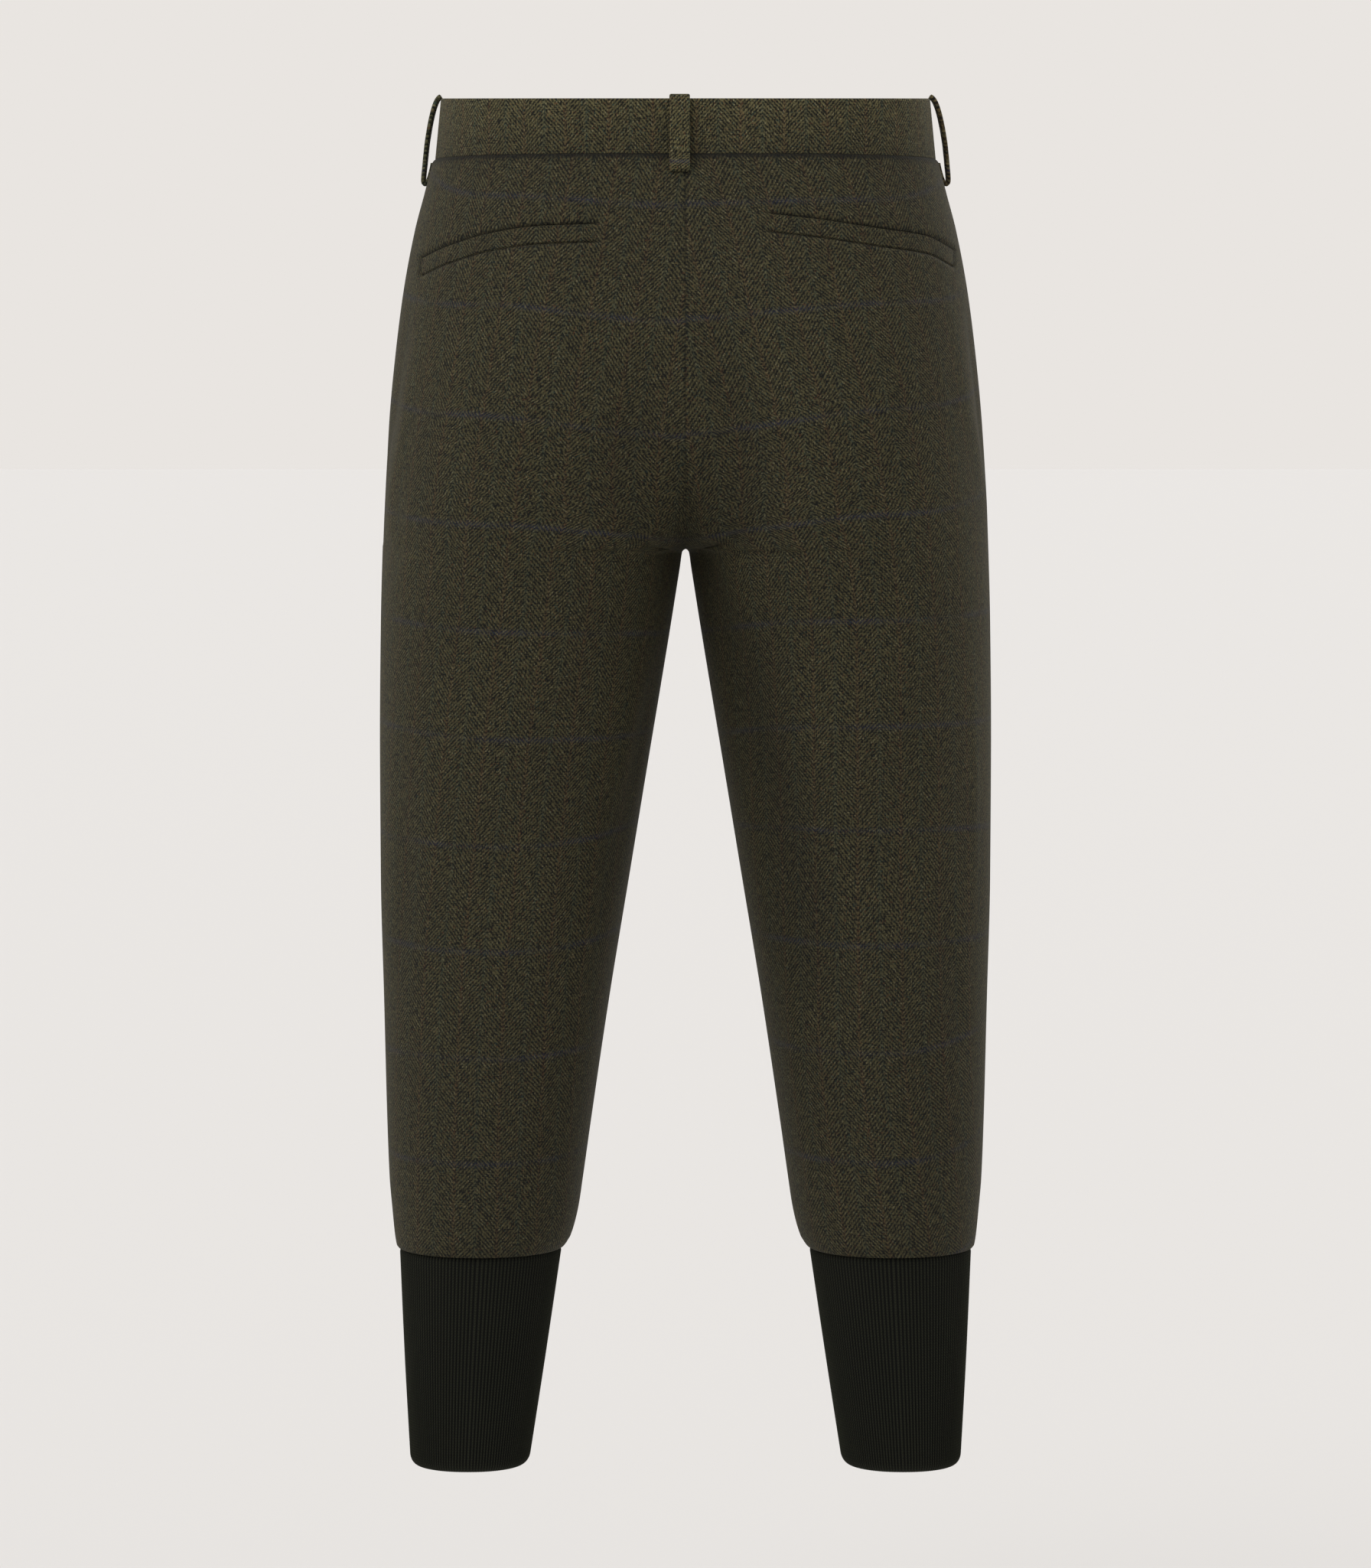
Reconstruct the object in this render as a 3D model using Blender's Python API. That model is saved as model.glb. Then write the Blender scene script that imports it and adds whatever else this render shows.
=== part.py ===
"""Tweed breeches with a belted waistband, two back pockets and long ribbed cuffs.

Metres, +Z up, the garment's front towards -Y, the wearer's left towards +X.
The origin is the centre of the waistband, half way up it.
"""
from collections import namedtuple
from math import cos, pi, radians, sin

import bmesh
import bpy
import numpy as np

# Driving sizes
BAND_HEIGHT = 0.034
SEAM_Z = -BAND_HEIGHT / 2
CROTCH_Z = -0.2475
HEM_Z = -0.675
CUFF_END_Z = -0.803
GAP = 0.0003
TWEED = 0.0016
BAND_WALL = 0.0028
LOOP_WALL = 0.0020
WELT_WALL = 0.0012
KNIT_WALL = 0.0020

# How full the curved quarters of each section are: 0.552 would be an ellipse
ROUND = 0.58
# Points on each bent stretch of the fine lines that the grids are read from
FINE = 64

# The garment's sections: where the side seam lies, and the two apexes of a leg
Section = namedtuple("Section", "z side_x side_y back_x back_y front_x front_y")
SECTIONS = [
    Section(0.0220, 0.1464, 0.000, 0.048, 0.1040, 0.050, -0.1000),
    Section(0.0170, 0.1468, 0.000, 0.048, 0.1045, 0.050, -0.1005),
    Section(-0.0170, 0.1502, 0.000, 0.050, 0.1085, 0.052, -0.1035),
    Section(-0.0350, 0.1545, 0.000, 0.053, 0.1130, 0.055, -0.1065),
    Section(-0.0580, 0.1606, 0.000, 0.057, 0.1185, 0.059, -0.1100),
    Section(-0.0945, 0.1676, 0.000, 0.064, 0.1260, 0.065, -0.1140),
    Section(-0.1310, 0.1724, 0.000, 0.071, 0.1310, 0.071, -0.1165),
    Section(-0.1680, 0.1761, 0.000, 0.078, 0.1325, 0.077, -0.1170),
    Section(-0.2050, 0.1786, 0.000, 0.084, 0.1290, 0.082, -0.1155),
    Section(-0.2475, 0.1806, 0.000, 0.089, 0.1210, 0.087, -0.1115),
    Section(-0.2970, 0.1820, 0.000, 0.094, 0.1090, 0.093, -0.1055),
    Section(-0.3710, 0.1828, -0.001, 0.100, 0.0945, 0.099, -0.0980),
    Section(-0.4450, 0.1826, -0.002, 0.106, 0.0835, 0.106, -0.0900),
    Section(-0.5190, 0.1809, -0.002, 0.113, 0.0760, 0.113, -0.0815),
    Section(-0.5940, 0.1790, 0.001, 0.119, 0.0715, 0.119, -0.0715),
    Section(-0.6310, 0.1776, 0.002, 0.121, 0.0695, 0.121, -0.0655),
    Section(-0.6500, 0.1761, 0.003, 0.122, 0.0670, 0.122, -0.0615),
    Section(-0.6680, 0.1740, 0.004, 0.123, 0.0620, 0.123, -0.0560),
    Section(-0.6750, 0.1732, 0.004, 0.124, 0.0590, 0.124, -0.0525),
]

# The inseam; above the crotch, where it would run if the legs passed through each other
Inseam = namedtuple("Inseam", "z x y")
INSEAM = [
    Inseam(-0.1500, -0.1300, 0.000),
    Inseam(-0.1750, -0.0950, 0.000),
    Inseam(-0.2000, -0.0560, 0.000),
    Inseam(-0.2200, -0.0290, 0.000),
    Inseam(-0.2340, -0.0135, 0.000),
    Inseam(-0.2430, -0.0048, 0.000),
    Inseam(CROTCH_Z, 0.0000, 0.000),
    Inseam(-0.2495, 0.0032, 0.000),
    Inseam(-0.2600, 0.0049, 0.000),
    Inseam(-0.2970, 0.0108, 0.000),
    Inseam(-0.3340, 0.0169, -0.001),
    Inseam(-0.3710, 0.0231, -0.001),
    Inseam(-0.4450, 0.0353, -0.002),
    Inseam(-0.5190, 0.0475, -0.002),
    Inseam(-0.5940, 0.0587, 0.001),
    Inseam(-0.6310, 0.0638, 0.002),
    Inseam(-0.6500, 0.0666, 0.003),
    Inseam(-0.6680, 0.0714, 0.004),
    Inseam(-0.6750, 0.0752, 0.004),
]

# How far the centre seams lie inside the apexes where the cloth runs straight across
Dip = namedtuple("Dip", "z back front")
DIPS = [
    Dip(0.0220, 0.0003, 0.0002),
    Dip(-0.0600, 0.0006, 0.0004),
    Dip(-0.1000, 0.0016, 0.0010),
    Dip(-0.1400, 0.0036, 0.0022),
    Dip(-0.1800, 0.0080, 0.0055),
    Dip(-0.2475, 0.0190, 0.0140),
]
# From here down to here the section turns from one body into two legs
ACROSS_Z = -0.150
LEGS_Z = -0.232

# The panels' grids
PANEL_COLUMNS = 14
SEAT_ROWS = 13
LEG_FIRST_DROPS = (0.002, 0.012, 0.032)
LEG_ROWS = 15
HEM_LAST_RISES = (0.036, 0.018, 0.007, 0.0)

# The fly laps over the centre front, the wearer's left over the right
FLY_LAP = 0.008
FLY_END_Z = -0.165
FLY_RAMP = 0.030
BAND_LAP = 0.016
BAND_UNDERLAP = 0.014
BAND_RAMP = 0.016
BAND_COLUMNS = 30
BAND_SIDE_RISE = 0.0020
LAP_GAP = 0.00045
ZIP_WIDTH = 0.024
ZIP_WALL = 0.0010
ZIP_BEHIND = 0.0009
ZIP_TOP_Z = -0.021
ZIP_END_Z = -0.160
ZIP_ROWS = 8
BUTTON_RADIUS = 0.0085
BUTTON_DEPTH = 0.0026
BUTTON_X = -0.002
BUTTON_GAP = 0.0006

# The belt loops stand off the band, by these sizes over the share of their length,
# so that a belt passes under them
LOOP_WIDTH = 0.012
LOOP_ROWS = 12
LOOP_OVER_TOP = 0.0014
LOOP_END_Z = -0.0330
Stand = namedtuple("Stand", "down off")
LOOP_STANDS = [
    Stand(0.00, 0.0005),
    Stand(0.12, 0.0024),
    Stand(0.26, 0.0046),
    Stand(0.42, 0.0059),
    Stand(0.62, 0.0061),
    Stand(0.78, 0.0050),
    Stand(0.90, 0.0027),
    Stand(1.00, 0.0006),
]
# Each loop's place: a share of the way from centre back to centre front, and a shift to the left
Loop = namedtuple("Loop", "name share shift stand")
LOOPS = [
    Loop("loop_back", 0.0, 0.0034, 1.0),
    Loop("loop_side_left", 0.515, 0.0, 0.94),
    Loop("loop_side_right", -0.515, 0.0, 1.05),
    Loop("loop_front_left", 0.81, 0.0, 1.0),
    Loop("loop_front_right", -0.81, 0.0, 1.0),
]

# The welts' upper edges on the back, x counted outwards from the centre seam
Edge = namedtuple("Edge", "x z")
WELT_LEFT = [Edge(0.0513, -0.0567), Edge(0.0870, -0.0580), Edge(0.1140, -0.0618),
             Edge(0.1418, -0.0696), Edge(0.1560, -0.0755)]
WELT_RIGHT = [Edge(0.0490, -0.0508), Edge(0.0776, -0.0540), Edge(0.1135, -0.0590),
              Edge(0.1414, -0.0626), Edge(0.1589, -0.0701)]
WELT_HEIGHT = 0.0115
WELT_COLUMNS = 20
# The strip clears the flat facets of the panel behind it
WELT_LIFT = 0.0008

# The cuffs: their sections, and the ribs that the knitting raises
Cuff = namedtuple("Cuff", "z inner_x outer_x back_y front_y")
CUFFS = [
    Cuff(-0.6750, 0.0755, 0.1730, 0.0585, -0.0520),
    Cuff(-0.7400, 0.0852, 0.1702, 0.0540, -0.0430),
    Cuff(-0.8030, 0.0950, 0.1668, 0.0480, -0.0330),
]
CUFF_SQUARENESS = 2.15
RIBS = 136
RIB_HEIGHT = 0.0006
RIBS_PER_INNER_SIDE = 2

# Colours
TWEED_COLOUR = (0.040, 0.037, 0.024)
BAND_COLOUR = (0.048, 0.044, 0.030)
KNIT_COLOUR = (0.0090, 0.0095, 0.0070)
ZIP_COLOUR = (0.020, 0.019, 0.014)
BUTTON_COLOUR = (0.045, 0.026, 0.014)


def curve_through(places, values):
    """A smooth curve through the points that never swings past them."""
    places = np.asarray(places, float)
    values = np.asarray(values, float)
    if places[0] > places[-1]:
        places = places[::-1]
        values = values[::-1]
    steps = np.diff(places)
    slopes = np.diff(values) / steps
    tangents = np.zeros(len(places))
    tangents[0] = slopes[0]
    tangents[-1] = slopes[-1]
    for i in range(1, len(slopes)):
        before = slopes[i - 1]
        after = slopes[i]
        if before * after > 0:
            tangents[i] = 2 * before * after / (before + after)

    def value(place):
        place = min(max(place, places[0]), places[-1])
        i = min(int(np.searchsorted(places, place, side="right")) - 1, len(steps) - 1)
        t = (place - places[i]) / steps[i]
        start = values[i] * (1 + 2 * t) * (1 - t) ** 2 + steps[i] * tangents[i] * t * (1 - t) ** 2
        end = values[i + 1] * t * t * (3 - 2 * t) + steps[i] * tangents[i + 1] * t * t * (t - 1)
        return start + end

    return value


def column(rows, name):
    """One column of a table as a curve over the height z."""
    return curve_through([row.z for row in rows], [getattr(row, name) for row in rows])


SIDE_X = column(SECTIONS, "side_x")
SIDE_Y = column(SECTIONS, "side_y")
APEX_X = {"back": column(SECTIONS, "back_x"), "front": column(SECTIONS, "front_x")}
APEX_Y = {"back": column(SECTIONS, "back_y"), "front": column(SECTIONS, "front_y")}
DIP = {"back": column(DIPS, "back"), "front": column(DIPS, "front")}
INSEAM_X = column(INSEAM, "x")
INSEAM_Y = column(INSEAM, "y")
OUTWARDS = {"back": 1.0, "front": -1.0}


def ease(t):
    """0 up to t = 0 and 1 from t = 1, smooth between."""
    t = min(max(t, 0.0), 1.0)
    return t * t * (3 - 2 * t)


def arc(start, start_pull, end_pull, end):
    """A fine line of points on one bent stretch of a section."""
    t = np.linspace(0, 1, FINE)[:, None]
    return ((1 - t) ** 3 * start + 3 * (1 - t) ** 2 * t * start_pull
            + 3 * (1 - t) * t ** 2 * end_pull + t ** 3 * end)


def read_line(line, shares):
    """Points at shares of a line's length."""
    run = np.concatenate([[0.0], np.cumsum(np.linalg.norm(np.diff(line, axis=0), axis=1))])
    where = np.asarray(shares) * run[-1]
    return np.stack([np.interp(where, run, line[:, i]) for i in range(line.shape[1])], axis=-1)


def length_of(line):
    return float(np.linalg.norm(np.diff(line, axis=0), axis=1).sum())


def from_centre_plane(line):
    """The part of a line that lies left of the garment's centre plane."""
    first = int(np.argmax(line[:, 0] > 0))
    if first == 0:
        return line
    before = line[first - 1]
    after = line[first]
    crossing = before + (after - before) * (0 - before[0]) / (after[0] - before[0])
    return np.vstack([crossing, line[first:]])


LINES = {}


def section_line(face, z):
    """The left half of the section at z, from the centre seam or inseam to the side seam."""
    key = (face, round(z, 7))
    if key in LINES:
        return LINES[key]
    out = OUTWARDS[face]
    apex = np.array([APEX_X[face](z), APEX_Y[face](z)])
    side = np.array([SIDE_X(z), SIDE_Y(z)])
    across = np.array([1.0, 0.0])
    depth = np.array([0.0, out])
    outer = arc(apex, apex + ROUND * (side[0] - apex[0]) * across,
                side + ROUND * abs(apex[1] - side[1]) * depth, side)[1:]
    straight = None
    round_leg = None
    if z > LEGS_Z:
        start = np.array([0.0, apex[1] - out * DIP[face](z)])
        straight = np.vstack([arc(start, start + ROUND * apex[0] * across,
                                  apex - ROUND * apex[0] * across, apex), outer])
    if z < ACROSS_Z:
        start = np.array([INSEAM_X(z), INSEAM_Y(z)])
        inner = arc(start, start + ROUND * abs(apex[1] - start[1]) * depth,
                    apex - ROUND * (apex[0] - start[0]) * across, apex)
        round_leg = np.vstack([from_centre_plane(inner), outer])
    if straight is None:
        line = round_leg
    elif round_leg is None:
        line = straight
    else:
        shares = np.linspace(0, 1, 2 * FINE)
        legs = ease((ACROSS_Z - z) / (ACROSS_Z - LEGS_Z))
        line = (1 - legs) * read_line(straight, shares) + legs * read_line(round_leg, shares)
        line[0, 0] = 0.0
    LINES[key] = line
    return line


def cloth_point(face, share, z):
    """A point of the cloth's outer side; a share below 0 is past the centre seam."""
    x, y = read_line(section_line(face, z), abs(share))
    return np.array([x if share >= 0 else -x, y, z])


def cloth_normal(face, share, z):
    """The direction straight out of the cloth."""
    small = 0.01
    step = 0.0005
    low = max(abs(share) - small, 0.0)
    high = min(abs(share) + small, 1.0)
    across = cloth_point(face, high, z) - cloth_point(face, low, z)
    upper = z + step
    lower = z - step
    if z <= CROTCH_Z:
        upper = min(upper, CROTCH_Z)
    lower = max(lower, HEM_Z)
    down = cloth_point(face, abs(share), lower) - cloth_point(face, abs(share), upper)
    normal = OUTWARDS[face] * np.cross(across, down)
    normal = normal / np.linalg.norm(normal)
    if share < 0:
        normal[0] = -normal[0]
    return normal


def find_on_cloth(face, x, z):
    """The share of the section at z where the cloth is at x."""
    shares = np.linspace(0, 1, 401)
    line = read_line(section_line(face, z), shares)
    return float(np.interp(x, line[:, 0], shares))


def centre_heights(face):
    """Heights that step evenly along the centre seam from the waist seam to the crotch."""
    drops = np.linspace(0, 1, 161)
    heights = SEAM_Z + (CROTCH_Z - SEAM_Z) * (1 - (1 - drops) ** 2)
    seam = np.array([[section_line(face, z)[0, 1], z] for z in heights])
    return read_line(seam, np.linspace(0, 1, SEAT_ROWS + 1))[:, 1]


def grid_heights(face):
    """For each row of a panel's grid, its height at the centre and at the side seam."""
    centre = centre_heights(face)
    rows = []
    for i, z in enumerate(centre):
        rows.append((z, SEAM_Z + (CROTCH_Z - SEAM_Z) * i / SEAT_ROWS))
    for drop in LEG_FIRST_DROPS:
        rows.append((CROTCH_Z - drop, CROTCH_Z - drop))
    start = CROTCH_Z - LEG_FIRST_DROPS[-1]
    end = HEM_Z + HEM_LAST_RISES[0]
    for i in range(1, LEG_ROWS):
        z = start + (end - start) * i / LEG_ROWS
        rows.append((z, z))
    for rise in HEM_LAST_RISES:
        rows.append((HEM_Z + rise, HEM_Z + rise))
    return rows


def finish(name, bm, colour, roughness, collection, metallic=0.0):
    """Turn a body's faces outwards, give it its material and put it in the collection."""
    bmesh.ops.recalc_face_normals(bm, faces=bm.faces[:])
    if bm.calc_volume(signed=True) < 0:
        bmesh.ops.reverse_faces(bm, faces=bm.faces[:])
    mesh = bpy.data.meshes.new(name)
    bm.to_mesh(mesh)
    bm.free()
    mesh.shade_smooth()
    mesh.set_sharp_from_angle(angle=radians(50))
    material = bpy.data.materials.new(name)
    material.use_nodes = True
    shader = material.node_tree.nodes["Principled BSDF"]
    shader.inputs["Base Color"].default_value = (*colour, 1.0)
    shader.inputs["Roughness"].default_value = roughness
    shader.inputs["Metallic"].default_value = metallic
    mesh.materials.append(material)
    piece = bpy.data.objects.new(name, mesh)
    collection.objects.link(piece)
    return piece


def wall(columns, rows, place):
    """A cloth wall: a grid laid by place(column, row), which gives its outer and inner points."""
    bm = bmesh.new()
    bmesh.ops.create_grid(bm, x_segments=columns, y_segments=rows, size=0.5)
    cells = {}
    for vert in bm.verts:
        spot = (round(vert.co.x, 6), round(vert.co.y, 6))
        cells[spot] = (round((vert.co.x + 0.5) * columns), round((vert.co.y + 0.5) * rows))
    points = {spot: place(*cell) for spot, cell in cells.items()}
    outer = bm.verts[:]
    made = bmesh.ops.extrude_face_region(bm, geom=bm.faces[:])
    inner = [item for item in made["geom"] if isinstance(item, bmesh.types.BMVert)]
    for side, verts in enumerate((outer, inner)):
        for vert in verts:
            vert.co = points[(round(vert.co.x, 6), round(vert.co.y, 6))][side]
    return bm


def make_panel(name, face, side, collection):
    """One of the four tweed panels, from the waist seam to the hem."""
    rows = grid_heights(face)
    lapped = face == "front" and side > 0
    lap_rows = [i for i, (z, _) in enumerate(rows) if z > FLY_END_Z]
    lift_end = lap_rows[-1] + 1
    half = GAP / 2

    def place(i, j):
        centre_z, side_z = rows[j]
        lap = 0.0
        if lapped and j in lap_rows:
            lap = FLY_LAP / length_of(section_line(face, centre_z))
        share = -lap + (1 + lap) * i / PANEL_COLUMNS
        z = side_z + (centre_z - side_z) * (1 - max(share, 0.0)) ** 2
        outer = cloth_point(face, share, z)
        normal = cloth_normal(face, share, z)
        if lapped and j <= lift_end:
            inside = share * length_of(section_line(face, z))
            outer = outer + normal * (TWEED + LAP_GAP) * ease(1 - inside / FLY_RAMP)
        if j in (0, len(rows) - 1):
            normal[2] = 0
            outer[2] += half if j else -half
        if i == PANEL_COLUMNS or (i == 0 and j >= SEAT_ROWS):
            normal[1] = 0
            outer[1] += half * OUTWARDS[face]
        if i == 0 and j <= SEAT_ROWS and lap == 0:
            outer[0] += half
        inner = outer - TWEED * normal / np.linalg.norm(normal)
        mirror = np.array([side, 1.0, 1.0])
        return outer * mirror, inner * mirror

    bm = wall(PANEL_COLUMNS, len(rows) - 1, place)
    return finish(name, bm, TWEED_COLOUR, 0.9, collection)


def waist_line(z):
    """The left half of the waist at a height, from the centre back to the centre front."""
    return np.vstack([section_line("back", z), section_line("front", z)[::-1][1:]])


def waist_point(distance, z):
    """The waist's outer point at a distance from the centre back, left positive, and its way out."""
    line = waist_line(z)
    total = length_of(line)
    side = 1.0 if distance >= 0 else -1.0
    reach = abs(distance)
    if reach > total:
        reach = 2 * total - reach
        side = -side
    small = 0.002
    x, y = read_line(line, reach / total)
    ahead = read_line(line, min(reach + small, total) / total)
    behind = read_line(line, max(reach - small, 0.0) / total)
    along = ahead - behind
    if reach < small:
        along = np.array([1.0, 0.0])
    if reach > total - small:
        along = np.array([-1.0, 0.0])
    out = np.array([-along[1], along[0]]) / np.linalg.norm(along)
    return np.array([x * side, y, z]), np.array([out[0] * side, out[1], 0.0])


def band_top(share):
    """The band's upper edge, a little higher over the hips; share runs from back to front."""
    return -SEAM_Z + BAND_SIDE_RISE * sin(pi * share) ** 2


def make_band(name, side, collection):
    """Half of the waistband; the wearer's left end laps over the right at the front."""
    end_lap = BAND_LAP if side > 0 else BAND_UNDERLAP
    mirror = np.array([side, 1.0, 1.0])

    def place(i, j):
        share = i / BAND_COLUMNS
        z = (SEAM_Z + GAP / 2, 0.0, band_top(share))[j]
        half_waist = length_of(waist_line(z))
        distance = GAP / 2 + (half_waist + end_lap - GAP / 2) * share
        point, out = waist_point(distance, z)
        if side > 0:
            ramp = half_waist - BAND_UNDERLAP - distance
            point = point + out * (BAND_WALL + LAP_GAP) * ease(1 - ramp / BAND_RAMP)
        return point * mirror, (point - out * BAND_WALL) * mirror

    bm = wall(BAND_COLUMNS, 2, place)
    return finish(name, bm, BAND_COLOUR, 0.9, collection)


def make_loop(loop, collection):
    """A belt loop: a strip that leaves the band's top and comes back below the waist seam."""
    stand = curve_through([row.down for row in LOOP_STANDS], [row.off for row in LOOP_STANDS])
    edge_z = band_top(abs(loop.share))
    top = edge_z + LOOP_OVER_TOP

    def strip(shift, t):
        z = top + (LOOP_END_Z - top) * t
        body_z = min(z, edge_z)
        place_round = loop.share * length_of(waist_line(body_z)) + loop.shift + shift
        point, out = waist_point(place_round, body_z)
        point[2] = z
        return point + out * stand(t) * loop.stand

    def place(i, j):
        shift = LOOP_WIDTH * (i / 2 - 0.5)
        t = j / LOOP_ROWS
        small = 0.01
        inner = strip(shift, t)
        path = strip(shift, min(t + small, 1.0)) - strip(shift, max(t - small, 0.0))
        across = strip(LOOP_WIDTH / 2, t) - strip(-LOOP_WIDTH / 2, t)
        out = np.cross(across, path)
        if np.dot(out[:2], inner[:2]) < 0:
            out = -out
        return inner + out / np.linalg.norm(out) * LOOP_WALL, inner

    bm = wall(2, LOOP_ROWS, place)
    return finish(loop.name, bm, BAND_COLOUR, 0.9, collection)


def make_welt(name, edge, side, collection):
    """A pocket's welt: a narrow strip made from the back panel's points, moved out."""
    top_z = curve_through([row.x for row in edge], [row.z for row in edge])
    first = edge[0].x
    last = edge[-1].x
    mirror = np.array([side, 1.0, 1.0])

    def place(i, j):
        x = first + (last - first) * i / WELT_COLUMNS
        z = top_z(x) - WELT_HEIGHT * (1 - j)
        share = find_on_cloth("back", x, z)
        normal = cloth_normal("back", share, z)
        inner = cloth_point("back", share, z) + normal * WELT_LIFT
        return (inner + normal * WELT_WALL) * mirror, inner * mirror

    bm = wall(WELT_COLUMNS, 1, place)
    return finish(name, bm, TWEED_COLOUR, 0.9, collection)


def make_zip(collection):
    """The closed zip's tapes, flat behind the centre front."""

    def place(i, j):
        z = ZIP_END_Z + (ZIP_TOP_Z - ZIP_END_Z) * j / ZIP_ROWS
        share = ZIP_WIDTH * (i / 2 - 0.5) / length_of(section_line("front", z))
        normal = cloth_normal("front", share, z)
        outer = cloth_point("front", share, z) - normal * (TWEED + ZIP_BEHIND)
        return outer, outer - normal * ZIP_WALL

    bm = wall(2, ZIP_ROWS, place)
    return finish("fly_zip", bm, ZIP_COLOUR, 0.7, collection)


def make_button(collection):
    """The waistband's button, a dished disc on the lap at the centre front."""
    profile = [(0.0, 0.0), (0.80, 0.0), (1.0, 0.35), (1.0, 0.75), (0.93, 1.0), (0.72, 1.0),
               (0.62, 0.72), (0.0, 0.72)]
    bm = bmesh.new()
    previous = None
    for radius, depth in profile:
        vert = bm.verts.new((radius * BUTTON_RADIUS, 0.0, depth * BUTTON_DEPTH))
        if previous:
            bm.edges.new((previous, vert))
        previous = vert
    bmesh.ops.spin(bm, geom=bm.verts[:] + bm.edges[:], cent=(0, 0, 0), axis=(0, 0, 1),
                   angle=2 * pi, steps=24, use_merge=True)
    bmesh.ops.remove_doubles(bm, verts=bm.verts[:], dist=0.00001)
    upper, _ = waist_point(length_of(waist_line(BUTTON_RADIUS)), BUTTON_RADIUS)
    lower, _ = waist_point(length_of(waist_line(-BUTTON_RADIUS)), -BUTTON_RADIUS)
    up = (upper - lower) / np.linalg.norm(upper - lower)
    across = np.array([1.0, 0.0, 0.0])
    out = np.cross(across, up)
    lap_face = BAND_WALL + LAP_GAP
    seat = (upper + lower) / 2 + out * (lap_face + BUTTON_GAP) + across * BUTTON_X
    for vert in bm.verts:
        x, y, z = vert.co
        vert.co = seat + across * x + up * y + out * z
    return finish("waist_button", bm, BUTTON_COLOUR, 0.4, collection)


CUFF = {name: column(CUFFS, name) for name in ("inner_x", "outer_x", "back_y", "front_y")}


def cuff_point(angle, z, inset):
    """A point of a cuff, a rounded oval, at an inset from its outer side."""
    half_width = (CUFF["outer_x"](z) - CUFF["inner_x"](z)) / 2
    half_depth = (CUFF["back_y"](z) - CUFF["front_y"](z)) / 2
    centre_x = (CUFF["outer_x"](z) + CUFF["inner_x"](z)) / 2
    centre_y = (CUFF["back_y"](z) + CUFF["front_y"](z)) / 2
    power = 2 / CUFF_SQUARENESS
    x = half_width * np.sign(cos(angle)) * abs(cos(angle)) ** power
    y = half_depth * np.sign(sin(angle)) * abs(sin(angle)) ** power
    out = np.array([x / half_width ** 2, y / half_depth ** 2])
    out = out / np.linalg.norm(out)
    return centre_x + x - inset * out[0], centre_y + y - inset * out[1], z


def make_cuff(name, side, collection):
    """A knitted cuff: ribs in the outer ring's points, over a plain inner ring."""
    heights = (HEM_Z - GAP / 2, (HEM_Z + CUFF_END_Z) / 2, CUFF_END_Z)
    outer_count = 2 * RIBS
    inner_count = RIBS // RIBS_PER_INNER_SIDE
    ratio = outer_count // inner_count
    bm = bmesh.new()
    outer = []
    inner = []
    for z in heights:
        ring = []
        for i in range(outer_count):
            inset = 0.0 if i % 2 else RIB_HEIGHT
            x, y, _ = cuff_point(2 * pi * i / outer_count, z, inset)
            ring.append(bm.verts.new((x * side, y, z)))
        outer.append(ring)
        ring = []
        for i in range(inner_count):
            x, y, _ = cuff_point(2 * pi * i / inner_count, z, KNIT_WALL)
            ring.append(bm.verts.new((x * side, y, z)))
        inner.append(ring)
    for rings in (outer, inner):
        for upper, lower in zip(rings, rings[1:]):
            count = len(upper)
            for i in range(count):
                j = (i + 1) % count
                bm.faces.new((upper[i], upper[j], lower[j], lower[i]))
    for end in (0, -1):
        for i in range(inner_count):
            j = (i + 1) % inner_count
            edge = [outer[end][(ratio * i + k) % outer_count] for k in range(ratio + 1)]
            bm.faces.new(edge + [inner[end][j], inner[end][i]])
    return finish(name, bm, KNIT_COLOUR, 0.95, collection)


def build():
    """Clear the scene and make every piece."""
    for old in list(bpy.data.objects):
        bpy.data.objects.remove(old, do_unlink=True)
    collection = bpy.data.collections.new("breeches")
    bpy.context.scene.collection.children.link(collection)
    for side_name, side in (("left", 1), ("right", -1)):
        for face in ("back", "front"):
            make_panel(f"{face}_{side_name}", face, side, collection)
        make_band(f"waistband_{side_name}", side, collection)
        make_cuff(f"cuff_{side_name}", side, collection)
    make_welt("pocket_welt_left", WELT_LEFT, 1, collection)
    make_welt("pocket_welt_right", WELT_RIGHT, -1, collection)
    for loop in LOOPS:
        make_loop(loop, collection)
    make_zip(collection)
    make_button(collection)


build()
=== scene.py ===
# %% [markdown]
# # Tweed breeches with long ribbed cuffs
# A worn pair of breeches is a hollow form: four cut panels of wool sewn into two tubes that join at
# the seat, a stiff band round the waist, and a knitted cuff on each leg. Here each cut piece is one
# thin shell laid on the imported part's own form. A cloth simulation could drape them, but tailored
# tweed hangs almost smooth, so the few folds it has are listed one by one.

# %% Load the imported part
from collections import namedtuple
from math import cos, pi, radians, sin

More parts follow.
